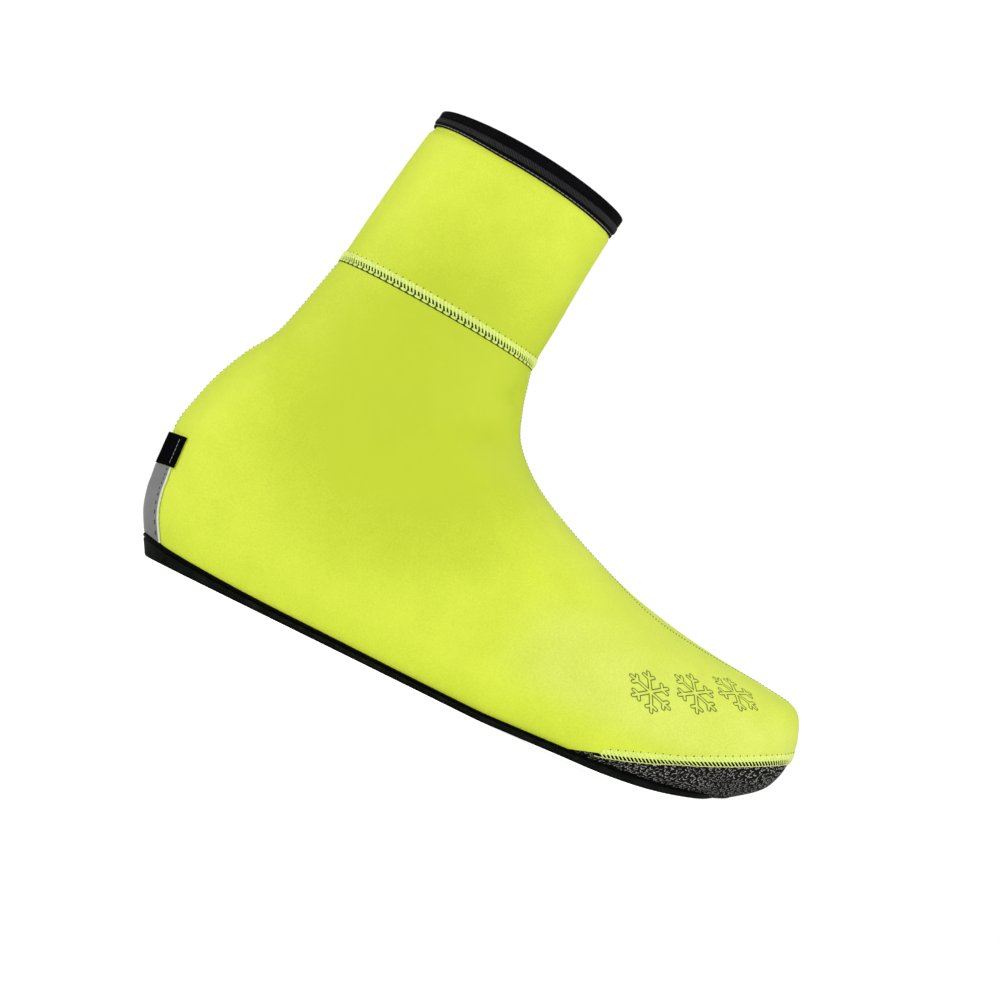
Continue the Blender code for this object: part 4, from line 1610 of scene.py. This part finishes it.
@dataclass
class Outsole:
    """Sole panel with its turned-up rim and two openings."""

    last: Last
    wardrobe: Wardrobe
    columns: int = 320
    across: int = 12
    corner: float = 16 * MM
    heel_round: float = 2.3 * MM
    openings: tuple[tuple[float, float, float], ...] = (
        (180 * MM, 76 * MM, 54 * MM),
        (48 * MM, 44 * MM, 36 * MM),
    )

    def build(self) -> None:
        """Models and dresses the sole."""
        piece = self._blank()
        for centre, length, width in self.openings:
            self._cut(piece, centre, length, width)
        Bench.finish(piece, "sole_fabric", (self.wardrobe[Finish.SOLE],), ("outsole",))

    def _edge(self, turn: Array, reach: Array, height: float) -> Array:
        """Points round the sole's edge at a reach outside the form and a height over the underside.

        Args:
            turn: Turns round the foot.
            reach: Distances outside the form.
            height: Height over the underside.

        Returns:
            The points.
        """
        p, out = self.last.skin(0.0, turn), self.last.normal(np.zeros_like(turn), turn)
        lift = self.last.toe_spring(p[..., 0] + self.last.origin) + height
        return np.stack([p[..., 0] + out[..., 0] * reach, p[..., 1] + out[..., 1] * reach, lift], -1)

    def _loops(self) -> list[Array]:
        """Rings of points from the underside's edge round the rim to the inner face's edge.

        Returns:
            The rings, each with one point for every column.
        """
        z, last = self.last.sizes, self.last
        turn = np.arange(self.columns) * 2 / self.columns
        thin = last.toe_thinning(turn)
        near = z.gap * thin - last.toe_sink(turn)
        full = near + z.rim_wall * thin
        loops = []
        heel = fade(last.skin(0.0, turn)[..., 0] + last.origin, .10 * z.length, .04 * z.length)
        corner = z.edge_round + (self.heel_round - z.edge_round) * heel
        for angle in np.radians((0, 25, 50, 75)):
            inset = corner * (1 - math.sin(angle))
            loops.append(self._edge(turn, full - inset, corner * (1 - math.cos(angle))))
        rim = last.rim_height(turn)
        top = near + .7 * (full - near)
        for share, reach in ((.4, full), (.7, full), (.93, full), (1.0, top), (1.0, near), (.5, near)):
            t = last.level_t(turn, z.seat + (rim - z.seat) * share)
            loops.append(last.surface(t, turn, reach))
        return [*loops, self._edge(turn, near, z.sole)]

    def _blank(self) -> bpy.types.Object:
        """Closed sole before its openings are cut.

        Returns:
            The sole.
        """
        loops = self._loops()
        count, half = self.columns, self.columns // 2
        points = [np.stack(loops)]
        faces = []
        for i in range(len(loops) - 1):
            for j in range(count):
                k = (j + 1) % count
                faces.append((i * count + j, i * count + k, (i + 1) * count + k, (i + 1) * count + j))
        start = len(loops) * count
        for loop in (loops[0], loops[-1]):
            u = np.linspace(0, 1, self.across + 1)[None, :, None]
            outer, inner = loop[:half + 1, None], np.roll(loop[::-1], 1, axis=0)[:half + 1, None]
            points.append((outer + (inner - outer) * u).reshape(1, -1, 3))
            row = self.across + 1
            for i in range(half):
                for j in range(self.across):
                    a = start + i * row + j
                    faces.append((a, a + 1, a + row + 1, a + row))
            start += (half + 1) * row
        piece = Bench.from_arrays("sole_panel", np.concatenate([p.reshape(-1, 3) for p in points]), faces)
        Bench.merge(piece)
        Bench.face_outwards(piece)
        return piece

    def _cut(self, piece: bpy.types.Object, centre: float, length: float, width: float) -> None:
        """Cuts one opening with round corners.

        Args:
            piece: The sole.
            centre: Distance of the opening's middle from the heel.
            length: Its length.
            width: Its width.
        """
        tall = 60 * MM
        bpy.ops.object.select_all(action="DESELECT")
        middle = (centre - self.last.origin, 0.0, 0.0)
        bpy.ops.mesh.primitive_cube_add(size=1.0, location=middle, scale=(length, width, tall))
        cutter = bpy.context.active_object
        bpy.ops.object.transform_apply(location=True, rotation=True, scale=True)
        for edge in cutter.data.edges:
            a, b = (cutter.data.vertices[i].co for i in edge.vertices)
            edge.select = abs(a.z - b.z) > tall / 2
        bpy.ops.object.mode_set(mode="EDIT")
        bpy.ops.mesh.select_mode(type="EDGE")
        bpy.ops.mesh.bevel(offset=min(self.corner, .45 * width), segments=10, affect="EDGES")
        bpy.ops.object.mode_set(mode="OBJECT")
        Bench.modify(piece, "BOOLEAN", operation="DIFFERENCE", solver="EXACT", object=cutter)
        bpy.data.objects.remove(cutter)


@dataclass
class CollarBinding:
    """Tape folded over the cuff's edge: rolled top, ribbed cover stitch and thin lower fold."""

    last: Last
    wardrobe: Wardrobe
    height: float = 7.6 * MM
    inner_height: float = 7 * MM
    thickness: float = 1.2 * MM
    roll: float = 1.9 * MM
    columns: int = 300
    stitch_pitch: float = .72 * MM
    stitch_height: float = 2.5 * MM
    stitch_lean: float = 1.6
    stitch_radius: float = .22 * MM
    fold_pitch: float = 2.1 * MM
    fold_share: float = .82
    fold_radius: float = .16 * MM
    back_narrowing: float = .24

    def build(self) -> None:
        """Models and dresses the binding."""
        self._tape()
        u = np.linspace(0, 1, 6)
        face = self.last.sizes.gap + self.thickness
        slant = -.54 * self.height + self.stitch_height * (u - .5)
        arch = face - .16 * MM + .12 * MM * np.sqrt(1 - (2 * u - 1) ** 4)
        self._threads(
            "collar_cover_stitch", self.stitch_pitch, (u - .5) * self.stitch_lean, slant, arch,
            self.stitch_radius, Finish.RIB_THREAD,
        )
        level = np.full_like(u, -.90 * self.height)
        dip = face - .50 * MM + .1 * MM * np.sin(np.pi * u)
        self._threads(
            "collar_fold_stitch", self.fold_pitch, u * self.fold_share, level, dip,
            self.fold_radius, Finish.GREY_THREAD,
        )

    def _profile(self) -> list[tuple[float, float]]:
        """Points (above the cuff's edge, outside its skin) round the folded tape.

        Returns:
            The points, in order round the tape.
        """
        gap, wall = self.last.sizes.gap, self.last.sizes.wall
        h, out = self.height, self.last.sizes.gap + self.thickness
        inside = -wall - gap - self.thickness
        return [
            (-.97 * h, gap), (-1.0 * h, gap + .1 * MM), (-1.0 * h, out - .65 * MM),
            (-.97 * h, out - .5 * MM), (-.92 * h, out - .42 * MM), (-.87 * h, out - .42 * MM),
            (-.83 * h, out - .52 * MM), (-.79 * h, out - .40 * MM), (-.74 * h, out - .25 * MM),
            (-.60 * h, out - .10 * MM), (-.45 * h, out - .02 * MM), (-.37 * h, out - .04 * MM),
            (-.31 * h, out - .22 * MM), (-.25 * h, out - .06 * MM), (-.17 * h, out + .04 * MM),
            (-.05 * h, out + .05 * MM),
            (.50 * self.roll, out + .10 * MM), (.88 * self.roll, out - .5 * MM), (self.roll, -.15 * wall),
            (1.0 * self.roll, -.5 * wall), (self.roll, -.85 * wall), (.80 * self.roll, inside + .6 * MM),
            (.3 * self.roll, inside), (-.5 * self.inner_height, inside),
            (-.97 * self.inner_height, inside + .1 * MM),
            (-self.inner_height, inside + .6 * self.thickness), (-.97 * self.inner_height, -wall - gap),
            (gap, -wall - gap), (gap, gap), (-.3 * h, gap),
        ]

    def _point(self, turn: Array, above: Array, depth: Array) -> Array:
        """Points above or below the cuff's top edge.

        Args:
            turn: Turns round the foot.
            above: Heights over the cuff's edge, up its skin.
            depth: Distances outside its skin.

        Returns:
            The points.
        """
        last = self.last
        top = np.full_like(turn, COLLAR_T)
        narrow = 1 - self.back_narrowing * fade((1 - np.cos(np.pi * turn)) / 2, .6, 1.0)
        below = np.minimum(above, 0.0) * narrow / last.climb(top, turn)
        points = last.surface(top + below, turn, depth - last.sizes.collar_press)
        up = unit(last.skin(top, turn) - last.skin(top - last.SLOPE_STEP, turn))
        return points + up * np.maximum(above, 0.0)[..., None]

    def _tape(self) -> None:
        """The folded tape, closed round its profile."""
        profile = np.array(self._profile() + self._profile()[:1])
        rows = (len(profile) - 1) * 2

        def place(u: Array, v: Array) -> Array:
            """Points round the tape.

            Args:
                u: Places across the sheet, from 0 to 1.
                v: Places up the sheet, from 0 to 1.

            Returns:
                The points.
            """
            at = v * (len(profile) - 1)
            above, depth = smooth_rows(profile[:, 0], at), smooth_rows(profile[:, 1], at)
            return self._point(2 * (1 - u), above, depth)
        piece = Bench.grid("collar_tape", self.columns, rows, place, True)
        Bench.face_outwards(piece)
        Bench.finish(piece, "binding", (self.wardrobe[Finish.BINDING],), ("collar_binding",))

    def _threads(
        self, name: str, pitch: float, share: Array, above: Array, depth: Array,
        radius: float, finish: Finish,
    ) -> None:
        """Row of short threads all round the collar.

        Args:
            name: Name of the piece.
            pitch: Distance from thread to thread.
            share: Places along one thread, in shares of the pitch.
            above: Heights over the cuff's edge at those places.
            depth: Distances outside the cuff's skin at those places.
            radius: Half the thickness of a thread.
            finish: Their finish.
        """
        line = SeamLine(self.last, lambda turn: np.full_like(turn, COLLAR_T), 0.0, 2.0)
        count = int(round(line.length / pitch))
        starts = (np.arange(count) * line.length / count)[:, None]
        run = (starts + share * pitch) % line.length
        turn = np.interp(run, line.run, line.turns)
        centre = self._point(turn, np.broadcast_to(above, run.shape), np.broadcast_to(depth, run.shape))
        up = self.last.normal(np.full_like(turn, COLLAR_T), turn)
        Bench.finish(Bench.tubes(name, centre, up, radius, 5), "binding", (self.wardrobe[finish],))


@dataclass
class HeelBand:
    """One band laid round the heel: where it lies, its sizes, and what it is made of."""

    name: str
    low: Callable[[Array], Array]
    high: float
    half_width: float
    thickness: float
    slot: str
    finish: Finish
    node: str
    rows: int


@dataclass
class HeelStrip:
    """Reflective strip at the centre back, and the black woven tape over its upper end."""

    last: Last
    wardrobe: Wardrobe
    half_width: float = 19 * MM
    thickness: float = .8 * MM
    top: float = 36.5 * MM
    tape_overlap: float = 1 * MM
    tape_thickness: float = 1.1 * MM
    tape_top: float = 50 * MM
    columns: int = 48
    dash_pitch: float = 2.6 * MM
    dash_share: float = .925
    dash_radius: float = .3 * MM
    dash_sink: float = .06 * MM
    dash_start_t: float = .12
    line_pitch: float = 2.2 * MM
    line_share: float = .90
    line_radius: float = .15 * MM

    def build(self) -> None:
        """Models and dresses the strip and its tape."""
        last, gap = self.last, self.last.sizes.gap
        strip_high, tape_low, tape_high = (last.heel_t(z) for z in (self.top - gap, self.top, self.tape_top))
        strip = HeelBand(
            "heel_reflector_strip", lambda turn: last.level_t(turn, last.tape_top(turn) + gap), strip_high,
            self.half_width, self.thickness, "reflective", Finish.REFLECTIVE, "heel_reflector", 40,
        )
        tape = HeelBand(
            "heel_tape_tab", lambda turn: np.full_like(turn, tape_low), tape_high,
            self.half_width + self.tape_overlap, self.tape_thickness,
            "webbing", Finish.WEBBING, "heel_tape", 16,
        )
        self._lay(strip)
        self._lay(tape)
        for side, name in ((-1, "outer"), (1, "inner")):
            self._stitches(side, name, strip)
            self._tab_line(side, name, tape, tape_low)

    def _turn(self, t: Array, share: Array, half: float) -> Array:
        """Turn at which the heel is a share of a half width to one side.

        Args:
            t: Section numbers.
            share: Shares of the half width, below zero on the outer side.
            half: The half width.

        Returns:
            Turns.
        """
        side = np.where(share > 0, 1.0, -1.0)
        middle = self.last.skin(t, np.ones_like(share))[..., 1]

        def wide(offset: Array) -> Array:
            """Width past the one that is asked for."""
            return np.abs(self.last.skin(t, 1 + side * offset)[..., 1] - middle) - np.abs(share) * half
        return 1 + side * self.last.solve(wide, np.zeros_like(share), np.full_like(share, .4))

    def _lay(self, band: HeelBand) -> None:
        """Models and dresses one band.

        Args:
            band: The band.
        """
        last = self.last
        start = float(band.low(np.array([1.0]))[0])

        def place(u: Array, v: Array) -> Array:
            """Points of the band's outer face.

            Args:
                u: Places across the sheet, from 0 to 1.
                v: Places up the sheet, from 0 to 1.

            Returns:
                The points.
            """
            share = 1 - 2 * u
            bottom = band.low(self._turn(np.full_like(u, start), share, band.half_width))
            t = bottom + (band.high - bottom) * v
            return last.surface(t, self._turn(t, share, band.half_width), last.sizes.gap + band.thickness)
        piece = Bench.grid(band.name, self.columns, band.rows, place, False)
        Bench.modify(piece, "SOLIDIFY", thickness=band.thickness, offset=-1.0, use_rim=True)
        Bench.finish(piece, band.slot, (self.wardrobe[band.finish],), (band.node,))

    def _dashes(
        self, name: str, t: Array, share: float, band: HeelBand, rise: float, radius: float, finish: Finish,
    ) -> None:
        """Short threads that follow a band's edge.

        Args:
            name: Name of the piece.
            t: Section numbers along the threads, each row one thread.
            share: Place across the band, in shares of its half width.
            band: The band.
            rise: Height of the threads' middle over its face.
            radius: Half the thickness of a thread.
            finish: Their finish.
        """
        turn = self._turn(t, np.full_like(t, share), band.half_width)
        height = self.last.sizes.gap + band.thickness + rise
        centre, up = self.last.surface(t, turn, np.full_like(t, height)), self.last.normal(t, turn)
        Bench.finish(Bench.tubes(name, centre, up, radius, 6), band.slot, (self.wardrobe[finish],))

    def _stitches(self, side: int, side_name: str, strip: HeelBand) -> None:
        """Dark stitches along an edge of the reflective strip.

        Args:
            side: -1 for the outer edge and 1 for the inner one.
            side_name: The side's name.
            strip: The reflective strip.
        """
        share = side * self.dash_share
        edge = self._turn(np.array([1.0]), np.array([share]), strip.half_width)
        start = float(strip.low(edge)[0]) + self.dash_start_t
        length = np.linalg.norm(self.last.skin(strip.high, 1.0) - self.last.skin(start, 1.0))
        count = int(length / self.dash_pitch)
        u = (np.arange(count)[:, None] + .5 + np.linspace(-.2, .2, 4)[None, :]) / count
        t = start + (strip.high - start) * u
        name = f"heel_stitches_{side_name}"
        self._dashes(name, t, share, strip, -self.dash_sink, self.dash_radius, Finish.GAP)

    def _tab_line(self, side: int, side_name: str, tape: HeelBand, low: float) -> None:
        """Grey sewn line along an edge of the woven tape.

        Args:
            side: -1 for the outer edge and 1 for the inner one.
            side_name: The side's name.
            tape: The woven tape.
            low: Section number of its lower edge.
        """
        length = np.linalg.norm(self.last.skin(tape.high, 1.0) - self.last.skin(low, 1.0))
        count = int(length / self.line_pitch)
        u = .1 + .8 * (np.arange(count)[:, None] + np.linspace(.1, .9, 5)[None, :]) / count
        t = low + (tape.high - low) * u
        name = f"tab_stitches_{side_name}"
        self._dashes(name, t, side * self.line_share, tape, 0.0, self.line_radius, Finish.GREY_THREAD)


@dataclass
class ClosingSeams:
    """Fine blind-stitched seams at the centre back and down the instep, as rows of small dark dashes."""

    last: Last
    wardrobe: Wardrobe
    instep_offsets: tuple[tuple[float, float], ...] = (
        (.55, 1.5 * MM), (.62, 4 * MM), (.68, 10 * MM), (.73, 15 * MM), (.78, 17.5 * MM), (.82, 15 * MM),
        (.87, 10 * MM), (.93, 7 * MM),
    )
    back_start: float = 52.5 * MM
    back_end_t: float = CUFF_SEAM_T - .25
    back_turn: float = 1 - .006
    back_pitch: float = 1.9 * MM
    back_radius: float = .42 * MM
    instep_start_t: float = CUFF_SEAM_T - .3
    instep_end_t: float = 5.2
    instep_pitch: float = 1.5 * MM
    instep_radius: float = .36 * MM

    def build(self) -> None:
        """Models and dresses both seams."""
        t = np.linspace(self.last.heel_t(self.back_start), self.back_end_t, 600)
        turn = np.full_like(t, self.back_turn)
        self._row("back_seam_stitches", t, turn, self.back_pitch, self.back_radius)
        t = np.linspace(self.instep_start_t, self.instep_end_t, 1200)
        self._row("instep_seam_stitches", t, self._instep_turn(t), self.instep_pitch, self.instep_radius)

    def _instep_turn(self, t: Array) -> Array:
        """Turn of the instep seam, which leaves the ridge towards the outer side over the forefoot.

        Args:
            t: Section numbers.

        Returns:
            Turns.
        """
        ridge = self.last.skin(t, np.zeros_like(t))
        place = (ridge[..., 0] + self.last.origin) / self.last.sizes.length
        offset = along(*zip(*self.instep_offsets), place)

        def wide(turn: Array) -> Array:
            """Width past the offset."""
            return np.abs(self.last.skin(t, turn)[..., 1] - ridge[..., 1]) - offset
        return self.last.solve(wide, np.zeros_like(t), np.full_like(t, .5))

    def _row(self, name: str, t: Array, turn: Array, pitch: float, radius: float) -> None:
        """Row of dashes along a line.

        Args:
            name: Name of the piece.
            t: Section numbers along the line.
            turn: Turns along the line.
            pitch: Distance from dash to dash, of which a dash takes half.
            radius: Half the thickness of a dash.
        """
        line = self.last.surface(t, turn)
        run = np.concatenate([[0.0], np.cumsum(np.linalg.norm(np.diff(line, axis=0), axis=1))])
        count = int(run[-1] / pitch)
        at = (np.arange(count)[:, None] + .5) * run[-1] / count + np.linspace(-.25, .25, 5)[None, :] * pitch
        t_at, turn_at = np.interp(at, run, t), np.interp(at, run, turn)
        centre = self.last.surface(t_at, turn_at, np.full_like(t_at, -.3 * radius))
        up = self.last.normal(t_at, turn_at)
        piece = Bench.tubes(name, centre, up, radius * np.array([.4, .9, 1.0, .9, .4])[None, :], 6)
        Bench.finish(piece, "thread", (self.wardrobe[Finish.GAP],))


class Softbox(NamedTuple):
    """Square area light that faces the shoe."""

    name: str
    place: tuple[float, float, float]
    size: float
    power: float


@dataclass
class Studio:
    """Plain pale floor, soft light, and the camera at the photo's angle."""

    focal: float = 140.3
    sensor: float = 36.0
    distance: float = 1.6
    camera_height: float = 20 * MM
    aim_x: float = -10.4 * MM
    aim_z: float = 84.8 * MM
    roll: float = math.radians(26.2)
    floor_size: float = 3.0
    floor_colour: Colour = (.88, .88, .88)
    floor_glow: float = .94
    surroundings: float = .20
    backdrop: float = 1.02
    target: tuple[float, float, float] = (0.0, 0.0, .08)
    softboxes: tuple[Softbox, ...] = (
        Softbox("key_light", (.65, -1.25, .12), .4, 6.7),
        Softbox("fill_light", (-.6, -1.25, .10), .4, 4.7),
        Softbox("heel_light", (-1.1, -.25, .45), .5, 4.8),
        Softbox("toe_light", (1.1, -.25, .45), .5, 4.4),
        Softbox("overhead_light", (.0, -.15, 1.3), .4, 3.4),
        Softbox("back_light", (.2, .7, 1.2), .6, 2.6),
    )

    def build(self) -> None:
        """Sets up the floor, the lights and the camera."""
        scene = bpy.context.scene
        scene.view_settings.view_transform = "Standard"
        self._floor()
        self._world()
        for box in self.softboxes:
            self._light(box)
        self._camera()

    def _floor(self) -> None:
        """Plain pale floor."""
        bpy.ops.object.select_all(action="DESELECT")
        bpy.ops.mesh.primitive_plane_add(size=self.floor_size, location=(0.0, 0.0, 0.0))
        floor = bpy.context.active_object
        floor.name = "studio_floor"
        recipe = Recipe("studio_paper", self.floor_colour, roughness=.9, emission_strength=self.floor_glow)
        recipe.feed("Emission Color", recipe.node("ShaderNodeLightPath", {}, {}, "Is Camera Ray"))
        floor.data.materials.append(recipe.material)

    def _world(self) -> None:
        """Surroundings that look white and light the shoe only a little."""
        world = bpy.data.worlds.new("studio")
        world.use_nodes = True
        tree = world.node_tree
        back = tree.nodes["Background"]
        back.inputs["Color"].default_value = (1.0, 1.0, 1.0, 1.0)
        path = tree.nodes.new("ShaderNodeLightPath")
        strength = tree.nodes.new("ShaderNodeMapRange")
        strength.inputs["To Min"].default_value = self.surroundings
        strength.inputs["To Max"].default_value = self.backdrop
        tree.links.new(path.outputs["Is Camera Ray"], strength.inputs["Value"])
        tree.links.new(strength.outputs["Result"], back.inputs["Strength"])
        bpy.context.scene.world = world

    def _light(self, box: Softbox) -> None:
        """Places one softbox, turned to the shoe.

        Args:
            box: The light.
        """
        bpy.ops.object.light_add(type="AREA", location=box.place)
        lamp = bpy.context.active_object
        lamp.name = box.name
        lamp.data.size = box.size
        lamp.data.energy = box.power
        lamp.rotation_euler = (Vector(self.target) - Vector(box.place)).to_track_quat("-Z", "Y").to_euler()

    def _camera(self) -> None:
        """Camera level with the sole, rolled so that the toe points down to the right."""
        place = Vector((0.0, -self.distance, self.camera_height))
        view = (Vector((self.aim_x, 0.0, self.aim_z)) - place).normalized()
        right = Vector((math.cos(self.roll), 0.0, math.sin(self.roll)))
        right = (right - view * right.dot(view)).normalized()
        up = right.cross(view)
        data = bpy.data.cameras.new("photo_camera")
        data.lens = self.focal
        data.sensor_width = self.sensor
        data.clip_start, data.clip_end = .05, 30.0
        camera = bpy.data.objects.new("photo_camera", data)
        bpy.context.scene.collection.objects.link(camera)
        turned = Matrix((right, up, -view)).transposed().to_4x4()
        camera.matrix_world = Matrix.Translation(place) @ turned
        bpy.context.scene.camera = camera


def flake_places(last: Last) -> tuple[Flake, ...]:
    """Places of the three printed crystals on the outer side of the toe.

    Args:
        last: The form that they lie on.

    Returns:
        One place for each crystal.
    """
    places = []
    for x, z in ((222.8 * MM, 40.9 * MM), (239.6 * MM, 48.4 * MM), (254.6 * MM, 55.8 * MM)):
        t, turn = find_outer(last, x, z)
        middle, out = last.surface(t, turn), last.normal(t, turn)
        middle, out = Vector(middle.tolist()), Vector(out.tolist())
        right = Vector((1.0, 0.0, -.17))
        right = (right - out * right.dot(out)).normalized()
        places.append(Flake(middle, right, out.cross(right)))
    return tuple(places)


def find_outer(last: Last, x: float, z: float) -> tuple[Array, Array]:
    """Section number and turn of the outer side's point at a distance from the heel and a height.

    Args:
        last: The form.
        x: Distance from the heel.
        z: Height over the floor.

    Returns:
        The section number and the turn.
    """
    t, turn = np.meshgrid(np.linspace(0.5, 12, 500), np.linspace(.01, .8, 600))
    points = last.skin(t, turn)
    away = np.hypot(points[..., 0] + last.origin - x, points[..., 2] - z)
    i = np.unravel_index(away.argmin(), away.shape)
    return t[i], turn[i]


def seams(last: Last, wardrobe: Wardrobe, tip: float) -> tuple[Flatlock, Flatlock]:
    """The two flatlock seams: one round the ankle, and one along the toe guard's upper edge.

    Args:
        last: The form that they lie on.
        wardrobe: Their finishes.
        tip: Turn at which the guard ends.

    Returns:
        Both seams, not yet built.
    """
    cuff = Flatlock(
        # Its looper is a dark line of painted shadow under the seam's edge.
        name="cuff_seam", node="cuff_seam", wardrobe=wardrobe, ring=True, looper=Finish.HOLE, pads=True,
        line=SeamLine(last, lambda turn: np.full_like(turn, CUFF_SEAM_T), 0.0, 2.0),
        # Dark rows: partly the dark core between the panels' edges, partly painted shade between the threads
        # and under the seam's edge.
        profile=(
            (2.5 * MM, .00 * MM, Finish.THREAD), (2.1 * MM, .22 * MM, Finish.THREAD),
            (.8 * MM, .30 * MM, Finish.THREAD), (.6 * MM, .05 * MM, Finish.GAP),
            (-.8 * MM, .05 * MM, Finish.GAP), (-2.4 * MM, .10 * MM, Finish.GAP), (-2.6 * MM, .0, Finish.GAP),
        ),
        strands=Strands(
            top=2.35 * MM, bottom=-1.0 * MM, lean=-2.2 * MM,
            top_radius=.48 * MM, bottom_radius=.31 * MM, rise=.32 * MM,
        ),
    )
    toe = Flatlock(
        name="toe_seam", node="toe_seam", wardrobe=wardrobe, ring=False,
        looper=Finish.PALE_THREAD, pads=False,
        line=SeamLine(last, last.guard_t, -tip + .02, tip - .02),
        profile=(
            (2.5 * MM, .00 * MM, Finish.THREAD), (2.1 * MM, .22 * MM, Finish.THREAD),
            (.1 * MM, .30 * MM, Finish.THREAD),
            (-.1 * MM, .05 * MM, Finish.WEBBING), (-2.3 * MM, .05 * MM, Finish.WEBBING),
            (-2.5 * MM, .0, Finish.WEBBING),
        ),
        strands=Strands(
            top=2.35 * MM, bottom=-2.3 * MM, lean=-5.8 * MM,
            top_radius=.40 * MM, bottom_radius=.19 * MM, rise=.28 * MM,
        ),
    )
    return cuff, toe


def main() -> None:
    """Builds the overshoe's looks in order, and the studio."""
    logging.basicConfig(level=logging.INFO, format="%(message)s")
    last = Last(Sizes())
    wardrobe = Wardrobe(flake_places(last))
    tip = last.guard_tip_turn()
    Outsole(last, wardrobe).build()
    SoleTape(last, wardrobe).build()
    Neoprene(last, wardrobe).build()
    ToeGuard(last, wardrobe, tip).build()
    for seam in seams(last, wardrobe, tip):
        seam.build()
    HeelStrip(last, wardrobe).build()
    ClosingSeams(last, wardrobe).build()
    CollarBinding(last, wardrobe).build()
    Studio().build()


if __name__ == "__main__":
    main()
